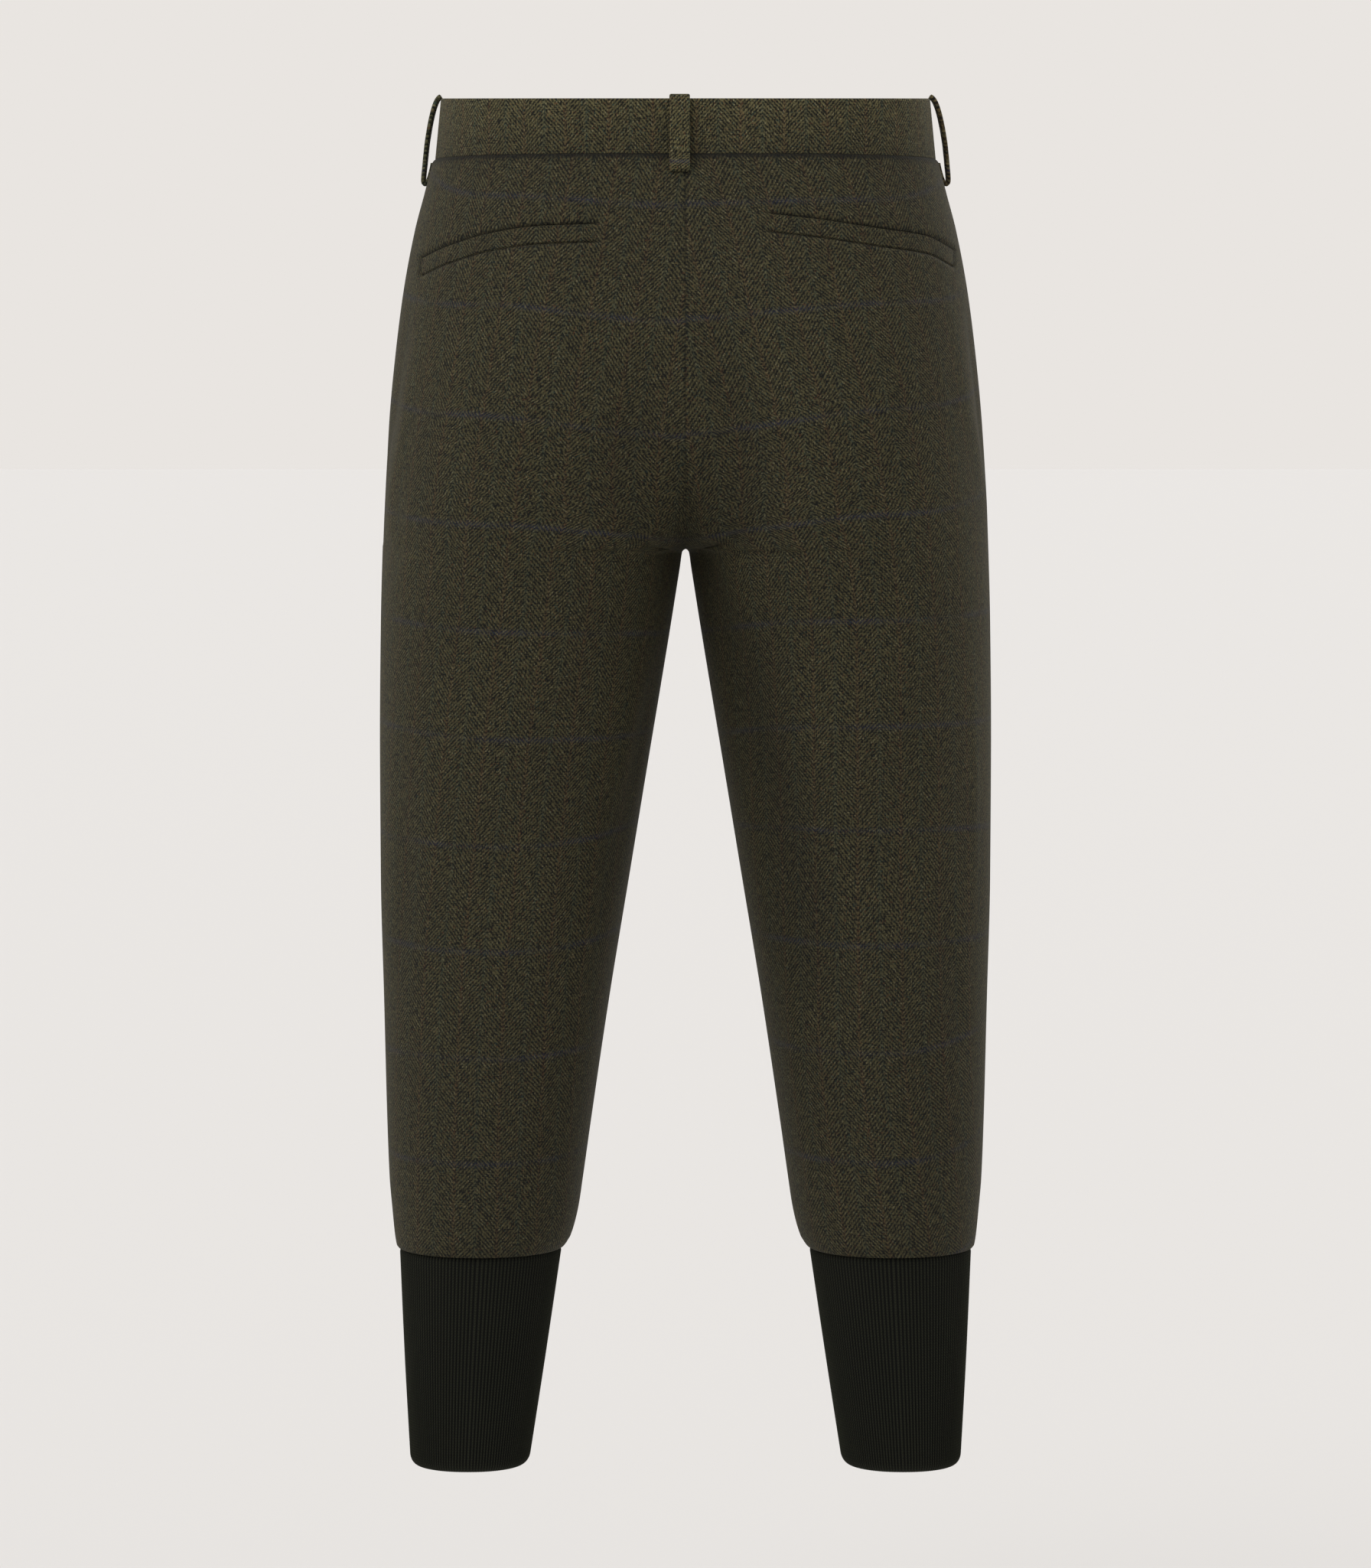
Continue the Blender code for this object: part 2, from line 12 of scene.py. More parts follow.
import bmesh
import bpy
import numpy as np
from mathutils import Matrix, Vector


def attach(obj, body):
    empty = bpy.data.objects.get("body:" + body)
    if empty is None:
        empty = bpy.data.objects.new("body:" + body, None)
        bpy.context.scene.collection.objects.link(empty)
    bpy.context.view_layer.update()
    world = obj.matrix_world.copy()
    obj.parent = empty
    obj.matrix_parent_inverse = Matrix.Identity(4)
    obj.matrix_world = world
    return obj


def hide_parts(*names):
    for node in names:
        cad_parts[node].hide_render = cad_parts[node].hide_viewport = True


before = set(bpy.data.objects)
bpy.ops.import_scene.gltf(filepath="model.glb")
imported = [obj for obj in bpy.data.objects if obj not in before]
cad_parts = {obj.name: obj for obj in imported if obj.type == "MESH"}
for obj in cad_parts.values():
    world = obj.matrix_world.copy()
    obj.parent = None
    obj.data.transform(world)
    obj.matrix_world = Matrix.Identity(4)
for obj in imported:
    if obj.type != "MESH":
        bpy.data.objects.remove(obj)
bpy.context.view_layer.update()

# %% [markdown]
# ## The form
# Every height z has a section: a line from the centre seam (or the inseam, on a leg) to the side
# seam. The tables hold the side seam's place and the point where each leg stands out furthest,
# in metres, +Z up, the garment's front towards -Y and the wearer's left towards +X.

# %% Tables of the form
SEAM_Z = -0.017
CROTCH_Z = -0.2475
HEM_Z = -0.6702
CUFF_END_Z = -0.803
ROUND = 0.58
FINE = 64

Section = namedtuple("Section", "z side_x side_y back_x back_y front_x front_y")
SECTIONS = [
    Section(0.0220, 0.1464, 0.000, 0.048, 0.1040, 0.050, -0.1000),
    Section(0.0170, 0.1468, 0.000, 0.048, 0.1045, 0.050, -0.1005),
    Section(-0.0170, 0.1502, 0.000, 0.050, 0.1085, 0.052, -0.1035),
    Section(-0.0350, 0.1545, 0.000, 0.053, 0.1130, 0.055, -0.1065),
    Section(-0.0580, 0.1606, 0.000, 0.057, 0.1185, 0.059, -0.1100),
    Section(-0.0945, 0.1676, 0.000, 0.064, 0.1260, 0.065, -0.1140),
    Section(-0.1310, 0.1724, 0.000, 0.071, 0.1310, 0.071, -0.1165),
    Section(-0.1680, 0.1761, 0.000, 0.078, 0.1325, 0.077, -0.1170),
    Section(-0.2050, 0.1786, 0.000, 0.084, 0.1290, 0.082, -0.1155),
    Section(-0.2475, 0.1806, 0.000, 0.089, 0.1210, 0.087, -0.1115),
    Section(-0.2970, 0.1820, 0.000, 0.094, 0.1090, 0.093, -0.1055),
    Section(-0.3710, 0.1828, -0.001, 0.100, 0.0945, 0.099, -0.0980),
    Section(-0.4450, 0.1826, -0.002, 0.106, 0.0835, 0.106, -0.0900),
    Section(-0.5190, 0.1809, -0.002, 0.113, 0.0760, 0.113, -0.0815),
    Section(-0.5940, 0.1790, 0.001, 0.119, 0.0715, 0.119, -0.0715),
    Section(-0.6300, 0.1776, 0.002, 0.121, 0.0695, 0.121, -0.0655),
    Section(-0.6470, 0.1761, 0.003, 0.122, 0.0672, 0.122, -0.0618),
    Section(-0.6640, 0.1744, 0.004, 0.123, 0.0630, 0.123, -0.0570),
    Section(-0.6702, 0.1734, 0.004, 0.124, 0.0592, 0.124, -0.0527),
]
Inseam = namedtuple("Inseam", "z x y")
INSEAM = [
    Inseam(-0.1500, -0.1300, 0.000),
    Inseam(-0.1750, -0.0950, 0.000),
    Inseam(-0.2000, -0.0560, 0.000),
    Inseam(-0.2200, -0.0290, 0.000),
    Inseam(-0.2340, -0.0135, 0.000),
    Inseam(-0.2430, -0.0048, 0.000),
    Inseam(CROTCH_Z, 0.0000, 0.000),
    Inseam(-0.2495, 0.0032, 0.000),
    Inseam(-0.2600, 0.0049, 0.000),
    Inseam(-0.2970, 0.0108, 0.000),
    Inseam(-0.3340, 0.0169, -0.001),
    Inseam(-0.3710, 0.0231, -0.001),
    Inseam(-0.4450, 0.0353, -0.002),
    Inseam(-0.5190, 0.0475, -0.002),
    Inseam(-0.5940, 0.0587, 0.001),
    Inseam(-0.6300, 0.0638, 0.002),
    Inseam(-0.6470, 0.0664, 0.003),
    Inseam(-0.6640, 0.0710, 0.004),
    Inseam(-0.6702, 0.0750, 0.004),
]
Dip = namedtuple("Dip", "z back front")
DIPS = [
    Dip(0.0220, 0.0003, 0.0002),
    Dip(-0.0600, 0.0006, 0.0004),
    Dip(-0.1000, 0.0016, 0.0010),
    Dip(-0.1400, 0.0036, 0.0022),
    Dip(-0.1800, 0.0080, 0.0055),
    Dip(-0.2475, 0.0190, 0.0140),
]
ACROSS_Z = -0.150
LEGS_Z = -0.232

# %% Smooth curves through the tables


def curve_through(places, values):
    """A smooth curve through the points that never swings past them."""
    places = np.asarray(places, float)
    values = np.asarray(values, float)
    if places[0] > places[-1]:
        places = places[::-1]
        values = values[::-1]
    steps = np.diff(places)
    slopes = np.diff(values) / steps
    tangents = np.zeros(len(places))
    tangents[0] = slopes[0]
    tangents[-1] = slopes[-1]
    for i in range(1, len(slopes)):
        before = slopes[i - 1]
        after = slopes[i]
        if before * after > 0:
            tangents[i] = 2 * before * after / (before + after)

    def value(place):
        place = np.clip(place, places[0], places[-1])
        i = np.minimum(np.searchsorted(places, place, side="right") - 1, len(steps) - 1)
        t = (place - places[i]) / steps[i]
        start = values[i] * (1 + 2 * t) * (1 - t) ** 2 + steps[i] * tangents[i] * t * (1 - t) ** 2
        end = values[i + 1] * t * t * (3 - 2 * t) + steps[i] * tangents[i + 1] * t * t * (t - 1)
        return start + end

    return value


def column(rows, name):
    """One column of a table as a curve over the height z."""
    return curve_through([row.z for row in rows], [getattr(row, name) for row in rows])


def ease(t):
    """0 up to t = 0 and 1 from t = 1, smooth between."""
    t = np.clip(t, 0.0, 1.0)
    return t * t * (3 - 2 * t)


def rounded(distance, radius):
    """How far an edge has rolled away at a distance from it, as on a quarter circle."""
    inside = np.clip(1 - np.asarray(distance) / radius, 0.0, 1.0)
    return radius * (1 - np.sqrt(1 - inside ** 2))


SIDE_X = column(SECTIONS, "side_x")
SIDE_Y = column(SECTIONS, "side_y")
APEX_X = {"back": column(SECTIONS, "back_x"), "front": column(SECTIONS, "front_x")}
APEX_Y = {"back": column(SECTIONS, "back_y"), "front": column(SECTIONS, "front_y")}
DIP = {"back": column(DIPS, "back"), "front": column(DIPS, "front")}
INSEAM_X = column(INSEAM, "x")
INSEAM_Y = column(INSEAM, "y")
OUTWARDS = {"back": 1.0, "front": -1.0}

# %% [markdown]
# A section is two bent stretches, from the seam to the furthest point and on to the side. Above the
# crotch it runs straight across; on a leg it turns round to the inseam; between, it is a blend.

# %% Sections


def arc(start, start_pull, end_pull, end):
    """A fine line of points on one bent stretch of a section."""
    t = np.linspace(0, 1, FINE)[:, None]
    return ((1 - t) ** 3 * start + 3 * (1 - t) ** 2 * t * start_pull
            + 3 * (1 - t) * t ** 2 * end_pull + t ** 3 * end)


def run_along(line):
    """The distance from a line's start to each of its points."""
    return np.concatenate([[0.0], np.cumsum(np.linalg.norm(np.diff(line, axis=0), axis=1))])


def read_line(line, shares):
    """Points at shares of a line's length."""
    run = run_along(line)
    where = np.asarray(shares) * run[-1]
    return np.stack([np.interp(where, run, line[:, i]) for i in range(line.shape[1])], axis=-1)


def length_of(line):
    return run_along(line)[-1]


def from_centre_plane(line):
    """The part of a line that lies left of the garment's centre plane."""
    first = int(np.argmax(line[:, 0] > 0))
    if first == 0:
        return line
    before = line[first - 1]
    after = line[first]
    crossing = before + (after - before) * (0 - before[0]) / (after[0] - before[0])
    return np.vstack([crossing, line[first:]])


LINES = {}


def section_line(face, z):
    """The left half of the section at z, from the centre seam or inseam to the side seam."""
    key = (face, round(float(z), 7))
    if key in LINES:
        return LINES[key]
    out = OUTWARDS[face]
    apex = np.array([APEX_X[face](z), APEX_Y[face](z)])
    side = np.array([SIDE_X(z), SIDE_Y(z)])
    across = np.array([1.0, 0.0])
    depth = np.array([0.0, out])
    outer = arc(apex, apex + ROUND * (side[0] - apex[0]) * across,
                side + ROUND * abs(apex[1] - side[1]) * depth, side)[1:]
    straight = None
    round_leg = None
    if z > LEGS_Z:
        start = np.array([0.0, apex[1] - out * DIP[face](z)])
        straight = np.vstack([arc(start, start + ROUND * apex[0] * across,
                                  apex - ROUND * apex[0] * across, apex), outer])
    if z < ACROSS_Z:
        start = np.array([INSEAM_X(z), INSEAM_Y(z)])
        inner = arc(start, start + ROUND * abs(apex[1] - start[1]) * depth,
                    apex - ROUND * (apex[0] - start[0]) * across, apex)
        round_leg = np.vstack([from_centre_plane(inner), outer])
    if straight is None:
        line = round_leg
    elif round_leg is None:
        line = straight
    else:
        shares = np.linspace(0, 1, 2 * FINE)
        legs = ease((ACROSS_Z - z) / (ACROSS_Z - LEGS_Z))
        line = (1 - legs) * read_line(straight, shares) + legs * read_line(round_leg, shares)
        line[0, 0] = 0.0
    LINES[key] = line
    return line


# %% [markdown]
# ## A panel as a grid of points
# A panel is read from the sections as a grid: columns run down the garment, rows run round it. The
# grid is closer where something small happens, at the seams and along the pocket. `Cloth` keeps
# for every point its place, its way out, and its distance from each edge, so that seams, folds
# and the weave can all be worked out from the same numbers.

# %% Grids of the panels
FLY_LAP = 0.008
FLY_END_Z = -0.165
FLY_RAMP = 0.030
TWEED = 0.0016
LAP_GAP = 0.00045
HALF_GAP = 0.00015
CLOSE = (0.0004, 0.0009, 0.0016, 0.0026)

Cloth = namedtuple("Cloth", "face share point out across width down_to_hem below_waist centre_z")


def steps(low, high, step, close_low=CLOSE, close_high=CLOSE):
    """Numbers from low to high, a step apart, and closer together near the two ends."""
    start = low + (close_low[-1] if close_low else 0.0)
    end = high - (close_high[-1] if close_high else 0.0)
    middle = np.linspace(start, end, max(int(round((end - start) / step)), 1) + 1)
    lower = [low] + [low + c for c in close_low[:-1]] if close_low else []
    upper = [high - c for c in close_high[-2::-1]] + [high] if close_high else []
    return np.concatenate([lower, middle, upper])


def centre_height(face):
    """The height on the centre seam at a share of its length from waist seam to crotch."""
    drops = np.linspace(0, 1, 161)
    heights = SEAM_Z + (CROTCH_Z - SEAM_Z) * (1 - (1 - drops) ** 2)
    seam = np.array([[section_line(face, z)[0, 1], z] for z in heights])
    run = run_along(seam)
    return lambda share: np.interp(np.asarray(share) * run[-1], run, seam[:, 1])


def row_heights(face):
    """The height of each row at the centre seam and at the side seam."""
    fine_top = -0.044
    fine_end = -0.093
    upper = steps(-SEAM_Z, -fine_top, 0.003, CLOSE, ())
    pocket = steps(-fine_top, -fine_end, 0.0009 if face == "back" else 0.003, (), ())[1:]
    lower = steps(-fine_end, -CROTCH_Z, 0.003, (), ())[1:]
    side = -np.concatenate([upper, pocket, lower])
    centre = centre_height(face)((SEAM_Z - side) / (SEAM_Z - CROTCH_Z))
    leg = -steps(-CROTCH_Z, -HEM_Z, 0.0032, (0.0012, 0.0030), CLOSE)[1:]
    return np.concatenate([centre, leg]), np.concatenate([side, leg])


def lay_panel(face, lapped=False):
    """The grid of one panel on the wearer's left."""
    centre_z, side_z = row_heights(face)
    widths = np.array([length_of(section_line(face, z)) for z in centre_z])
    shares = steps(0.0, 1.0, 0.012, (0.0015, 0.0035, 0.0065, 0.0105), (0.0015, 0.0035, 0.0065, 0.0105))
    count = len(shares)
    share = np.repeat(shares[:, None], len(centre_z), axis=1)
    if lapped:
        lap = np.where(centre_z > FLY_END_Z, FLY_LAP / widths, 0.0)
        share = share * (1 + lap) - lap
    point = np.zeros((count, len(centre_z), 3))
    across = np.zeros((count, len(centre_z)))
    for j in range(len(centre_z)):
        for i in range(count):
            s = share[i, j]
            z = side_z[j] + (centre_z[j] - side_z[j]) * (1 - max(s, 0.0)) ** 2
            line = section_line(face, z)
            x, y = read_line(line, abs(s))
            point[i, j] = (x if s >= 0 else -x, y, z)
            across[i, j] = s * length_of(line)
    right = np.gradient(point, axis=0)
    down = np.gradient(point, axis=1)
    out = np.cross(right, down) * OUTWARDS[face]
    out /= np.linalg.norm(out, axis=2, keepdims=True)
    out[-1, :, 1] = 0
    out[0, centre_z <= CROTCH_Z, 1] = 0
    out /= np.linalg.norm(out, axis=2, keepdims=True)
    width = across[-1:, :] + 0 * across
    return Cloth(face, share, point, out, across, width, point[:, :, 2] - HEM_Z,
                 SEAM_Z - point[:, :, 2], centre_z)


BACK = lay_panel("back")
FRONT = lay_panel("front")
FLY = lay_panel("front", lapped=True)
print("back grid", BACK.point.shape[:2], "front grid", FRONT.point.shape[:2])

# %% [markdown]
# ## Folds
# Tweed this heavy doesn't crumple. It keeps the faint pressed line down each leg, it hangs in a few
# long hollows from the hip and the seat, and it breaks softly behind the knee. A fold here is a
# line of points (share across the panel, height z) with a width and a depth: above 0 it is a
# hollow, below 0 a ridge. The two sides of the body differ a little, as they do on a real one.

# %% Folds
Fold = namedtuple("Fold", "width depth path")
FOLDS = {
    "back_left": [
        Fold(0.0050, -0.0005, [(0.46, -0.33), (0.48, -0.44), (0.50, -0.55), (0.50, -0.66)]),
        Fold(0.0110, 0.0016, [(0.80, -0.10), (0.87, -0.17), (0.95, -0.26)]),
        Fold(0.0090, -0.0010, [(0.72, -0.12), (0.78, -0.19), (0.86, -0.28)]),
        Fold(0.0120, 0.0016, [(0.06, -0.13), (0.10, -0.17), (0.17, -0.22), (0.20, -0.27)]),
        Fold(0.0140, 0.0014, [(0.12, -0.30), (0.16, -0.38), (0.20, -0.47)]),
        Fold(0.0120, 0.0012, [(0.78, -0.36), (0.76, -0.44), (0.80, -0.52)]),
        Fold(0.0100, -0.0008, [(0.30, -0.50), (0.36, -0.56), (0.40, -0.62)]),
    ],
    "back_right": [
        Fold(0.0050, -0.0006, [(0.44, -0.33), (0.45, -0.44), (0.46, -0.55), (0.47, -0.66)]),
        Fold(0.0060, -0.0006, [(0.80, -0.31), (0.81, -0.40), (0.80, -0.47)]),
        Fold(0.0130, 0.0024, [(0.05, -0.10), (0.09, -0.15), (0.16, -0.21), (0.20, -0.27)]),
        Fold(0.0120, -0.0012, [(0.20, -0.12), (0.25, -0.18), (0.30, -0.24)]),
        Fold(0.0260, 0.0036, [(0.15, -0.23), (0.25, -0.31), (0.30, -0.41), (0.34, -0.53)]),
        Fold(0.0100, 0.0014, [(0.88, -0.10), (0.89, -0.15), (0.90, -0.21)]),
        Fold(0.0120, -0.0010, [(0.76, -0.10), (0.78, -0.17), (0.80, -0.25)]),
        Fold(0.0110, 0.0012, [(0.66, -0.44), (0.70, -0.50), (0.76, -0.55)]),
    ],
    "front_left": [
        Fold(0.0050, -0.0006, [(0.48, -0.24), (0.49, -0.40), (0.50, -0.55), (0.50, -0.66)]),
        Fold(0.0130, 0.0020, [(0.06, -0.17), (0.16, -0.20), (0.34, -0.21)]),
        Fold(0.0120, 0.0016, [(0.10, -0.24), (0.18, -0.30), (0.24, -0.38)]),
        Fold(0.0110, -0.0010, [(0.72, -0.10), (0.76, -0.18), (0.80, -0.27)]),
        Fold(0.0120, 0.0012, [(0.26, -0.47), (0.40, -0.50), (0.60, -0.49)]),
    ],
    "front_right": [
        Fold(0.0050, -0.0006, [(0.47, -0.24), (0.48, -0.40), (0.49, -0.55), (0.50, -0.66)]),
        Fold(0.0130, 0.0022, [(0.06, -0.18), (0.18, -0.205), (0.38, -0.22)]),
        Fold(0.0120, 0.0014, [(0.12, -0.26), (0.20, -0.32), (0.28, -0.41)]),
        Fold(0.0110, -0.0010, [(0.74, -0.11), (0.79, -0.20), (0.82, -0.29)]),
        Fold(0.0120, 0.0014, [(0.30, -0.46), (0.46, -0.485), (0.66, -0.47)]),
    ],
}


def fold_depth(cloth, folds):
    """How far the folds move each point inwards."""
    depth = np.zeros(cloth.share.shape)
    across = cloth.share * cloth.width
    heights = cloth.point[:, :, 2]
    level = curve_through(cloth.centre_z[::-1], cloth.width[0][::-1])
    for fold in folds:
        path = np.array([[share * level(z), z] for share, z in fold.path])
        run = run_along(path)
        nearest = np.full(depth.shape, 1e9)
        along = np.zeros(depth.shape)
        for k in range(len(path) - 1):
            way = path[k + 1] - path[k]
            t = ((across - path[k, 0]) * way[0] + (heights - path[k, 1]) * way[1]) / (way @ way)
            t = np.clip(t, 0, 1)
            gap = np.hypot(across - path[k, 0] - t * way[0], heights - path[k, 1] - t * way[1])
            closer = gap < nearest
            nearest = np.where(closer, gap, nearest)
            along = np.where(closer, (run[k] + t * (run[k + 1] - run[k])) / run[-1], along)
        fade = np.sin(pi * np.clip(along, 0, 1)) ** 0.7
        depth += fold.depth * fade * np.exp(-(nearest / fold.width) ** 2)
    return depth


# %% [markdown]
# ## Pockets
# Each back pocket is a welt: a narrow strip let into a slit, so the cloth dips along its two long
# edges and the strip lies in the dip. The left and the right one slope a little differently.

# %% Where the welts lie
Edge = namedtuple("Edge", "x z")
WELTS = {
    "left": [Edge(0.0513, -0.0567), Edge(0.0870, -0.0580), Edge(0.1140, -0.0618),
             Edge(0.1418, -0.0696), Edge(0.1560, -0.0755)],
    "right": [Edge(0.0490, -0.0508), Edge(0.0776, -0.0540), Edge(0.1135, -0.0590),
              Edge(0.1414, -0.0626), Edge(0.1589, -0.0701)],
}
WELT_HEIGHT = 0.0115
SLIT_WIDTH = 0.0011
SLIT_DEPTH = 0.0019
BED_DEPTH = 0.0008


def welt_top(side):
    edge = WELTS[side]
    return curve_through([row.x for row in edge], [row.z for row in edge])


def pocket_depth(cloth, side):
    """How far the panel dips round its welt, and the painted shade in its slits."""
    x = np.abs(cloth.point[:, :, 0])
    z = cloth.point[:, :, 2]
    first = WELTS[side][0].x
    last = WELTS[side][-1].x
    top = welt_top(side)(x)
    within = ease((x - first + 0.004) / 0.006) * ease((last + 0.0005 - x) / 0.001)
    upper = np.exp(-((z - top) / SLIT_WIDTH) ** 2)
    lower = np.exp(-((z - top + WELT_HEIGHT) / SLIT_WIDTH) ** 2)
    bed = ease((top - z) / 0.001) * ease((z - top + WELT_HEIGHT) / 0.001)
    end = np.exp(-((x - last) / 0.0012) ** 2) * bed
    slit = np.maximum(upper, lower) * within
    return SLIT_DEPTH * slit + BED_DEPTH * bed * within + 0.0006 * end, np.maximum(slit, end * 0.5)


# %% [markdown]
# ## The weave's coordinates
# The cloth's pattern follows its yarns, so each point gets a weave coordinate in metres: u across
# the warp and v up it. On a trouser leg the warp runs down the pressed line, so u is the distance
# round the section from that line. It counts to the right as seen from outside, so that the
# chevrons of both panels are the right way round. The photo's blue check lines sag towards the
# centre back, and a small table per panel gives how far.

# %% Weave coordinates
Sag = namedtuple("Sag", "z centre middle side")
SAGS = {
    "back_left": [
        Sag(-0.020, -0.004, 0.000, 0.018),
        Sag(-0.046, -0.006, 0.000, 0.016),
        Sag(-0.100, -0.009, 0.000, 0.008),
        Sag(-0.165, -0.012, 0.000, 0.009),
        Sag(-0.230, -0.011, 0.000, 0.008),
        Sag(-0.290, -0.004, 0.000, 0.009),
        Sag(-0.355, 0.001, 0.000, 0.008),
        Sag(-0.420, 0.011, 0.000, 0.004),
        Sag(-0.480, 0.010, 0.000, 0.005),
        Sag(-0.540, 0.006, 0.000, 0.001),
        Sag(-0.675, 0.002, 0.000, 0.002),
    ],
    "back_right": [
        Sag(-0.020, -0.004, -0.003, 0.014),
        Sag(-0.046, -0.005, -0.002, 0.013),
        Sag(-0.100, -0.007, 0.001, 0.010),
        Sag(-0.165, -0.010, 0.004, 0.018),
        Sag(-0.230, -0.010, 0.006, 0.020),
        Sag(-0.290, -0.003, 0.007, 0.010),
        Sag(-0.355, 0.000, 0.008, 0.009),
        Sag(-0.420, 0.009, 0.010, 0.008),
        Sag(-0.480, 0.008, 0.004, 0.007),
        Sag(-0.540, 0.006, 0.003, 0.018),
        Sag(-0.675, 0.000, -0.002, 0.014),
    ],
    "front_left": [
        Sag(-0.020, 0.000, 0.000, 0.010),
        Sag(-0.230, 0.004, 0.000, 0.008),
        Sag(-0.450, 0.006, 0.000, 0.004),
        Sag(-0.675, 0.002, 0.000, 0.001),
    ],
    "front_right": [
        Sag(-0.020, 0.001, 0.000, 0.012),
        Sag(-0.230, 0.004, 0.000, 0.012),
        Sag(-0.450, 0.005, 0.000, 0.007),
        Sag(-0.675, 0.002, 0.000, 0.005),
    ],
}
# How far the warp's line strays from the leg's furthest point, outwards
Stray = namedtuple("Stray", "z left right")
STRAYS = [
    Stray(-0.015, 0.012, -0.008),
    Stray(-0.070, 0.012, 0.000),
    Stray(-0.115, 0.013, 0.002),
    Stray(-0.170, 0.013, 0.007),
    Stray(-0.270, 0.011, 0.009),
    Stray(-0.350, 0.015, 0.005),
    Stray(-0.487, 0.018, -0.005),
    Stray(-0.553, 0.016, -0.009),
    Stray(-0.670, 0.012, 0.001),
]
# Where a chevron's lower point falls, so that the columns match the photo's
V_POINT = {"back_left": 0.0034, "back_right": 0.0024, "front_left": 0.004, "front_right": 0.004}


def weave_coordinates(cloth, name):
    side_name = name.split("_")[1]
    side = 1.0 if side_name == "left" else -1.0
    z = cloth.point[:, :, 2]
    stray = column(STRAYS, side_name)(z)
    apex = np.zeros(z.shape)
    for j in range(z.shape[1]):
        line = section_line(cloth.face, z[z.shape[0] // 2, j])
        run = run_along(line)
        furthest = np.argmax(np.abs(line[:, 1]))
        apex[:, j] = run[furthest]
    u = -(cloth.across - apex - stray) * side * OUTWARDS[cloth.face]
    rows = SAGS[name]
    centre = column(rows, "centre")(z)
    middle = column(rows, "middle")(z)
    outer = column(rows, "side")(z)
    share = np.clip(cloth.share, 0, 1)
    low = centre + (middle - centre) * ease(share / 0.5)
    high = middle + (outer - middle) * ease((share - 0.45) / 0.55) ** 1.3
    sag = np.where(share < 0.5, low, high)
    return u + V_POINT[name], z - sag


# %% [markdown]
# ## From numbers to meshes
# `create_grid` makes a flat grid whose vertices are moved to their places. A panel's points are
# its outer side; a Solidify modifier gives it the cloth's thickness inwards. The band, loops, welts
# and cuffs show their edges, so they are closed strips instead: the same grid, wrapped round a
# small rounded profile, with its two long sides merged and its ends filled.

# %% Mesh helpers
UV_NAME = "weave"
# a vertex attribute of painted shade: seam grooves, slits, fold hollows, lower legs and sunk ribs
PAINTED_SHADE_NAME = "tone"


def make_object(name, bm, thickness=0.0, smooth_angle=60):
    mesh = bpy.data.meshes.new(name)
    bm.to_mesh(mesh)
    bm.free()
    mesh.shade_smooth()
    mesh.set_sharp_from_angle(angle=radians(smooth_angle))
    piece = bpy.data.objects.new(name, mesh)
    bpy.context.scene.collection.objects.link(piece)
    if thickness:
        solidify = piece.modifiers.new("thickness", "SOLIDIFY")
        solidify.thickness = thickness
        solidify.offset = -1
        solidify.use_even_offset = False
    return piece


def grid_bmesh(point, u, v, tone=None):
    """A grid with a vertex at each point, its weave coordinates and its painted shade."""
    columns, rows = point.shape[:2]
    bm = bmesh.new()
    bmesh.ops.create_grid(bm, x_segments=columns - 1, y_segments=rows - 1, size=0.5)
    painted_shade_layer = bm.verts.layers.float.new(PAINTED_SHADE_NAME)
    cells = {}
    for vert in bm.verts:
        i = round((vert.co.x + 0.5) * (columns - 1))
        j = round((vert.co.y + 0.5) * (rows - 1))
        cells[vert] = (i, j)
        vert[painted_shade_layer] = 0.0 if tone is None else float(tone[i, j])
    uv_layer = bm.loops.layers.uv.new(UV_NAME)
    for face in bm.faces:
        for loop in face.loops:
            cell = cells[loop.vert]
            loop[uv_layer].uv = (u[cell], v[cell])
    for vert, cell in cells.items():
        vert.co = point[cell]
    return bm


def face_outwards(bm, out_of):
    """Turn a sheet so that its first face looks the way out_of says."""
    bmesh.ops.recalc_face_normals(bm, faces=bm.faces[:])
    bm.faces.ensure_lookup_table()
    probe = bm.faces[len(bm.faces) // 2]
    centre = np.array(probe.calc_center_median())
    if np.dot(np.array(probe.normal), out_of(centre)) < 0:
        bmesh.ops.reverse_faces(bm, faces=bm.faces[:])


def closed_strip(name, point, u, v, tone=None, ends=True):
    """A strip closed round its profile: point is columns along by rows round, last row = first."""
    bm = grid_bmesh(point, u, v, tone)
    bmesh.ops.remove_doubles(bm, verts=bm.verts[:], dist=0.000002)
    if ends:
        rim = [edge for edge in bm.edges if edge.is_boundary]
        bmesh.ops.holes_fill(bm, edges=rim)
    bmesh.ops.recalc_face_normals(bm, faces=bm.faces[:])
    if bm.calc_volume(signed=True) < 0:
        bmesh.ops.reverse_faces(bm, faces=bm.faces[:])
    return make_object(name, bm)


# %% [markdown]
# ## The tweed panels
# The raw edges are turned in at every seam, so the cloth rolls away there and two panels meet in a
# fine dark groove. The waist seam and the hem are deeper, since more layers turn in. Painted shade
# darkens the grooves, the cloth just under the waist seam, the pocket slits, the folds' hollows and
# the lower leg.

# %% Build the panels
SEAM_ROLL = 0.0011
WAIST_ROLL = 0.0026
HEM_ROLL = 0.0012
FOLD_PAINTED_LIGHT_AND_WEAR = 90.0
LOWER_LEG_SHADE = 0.16
THIGH_Z = -0.30
KNEE_END_Z = -0.60
PANELS = {}


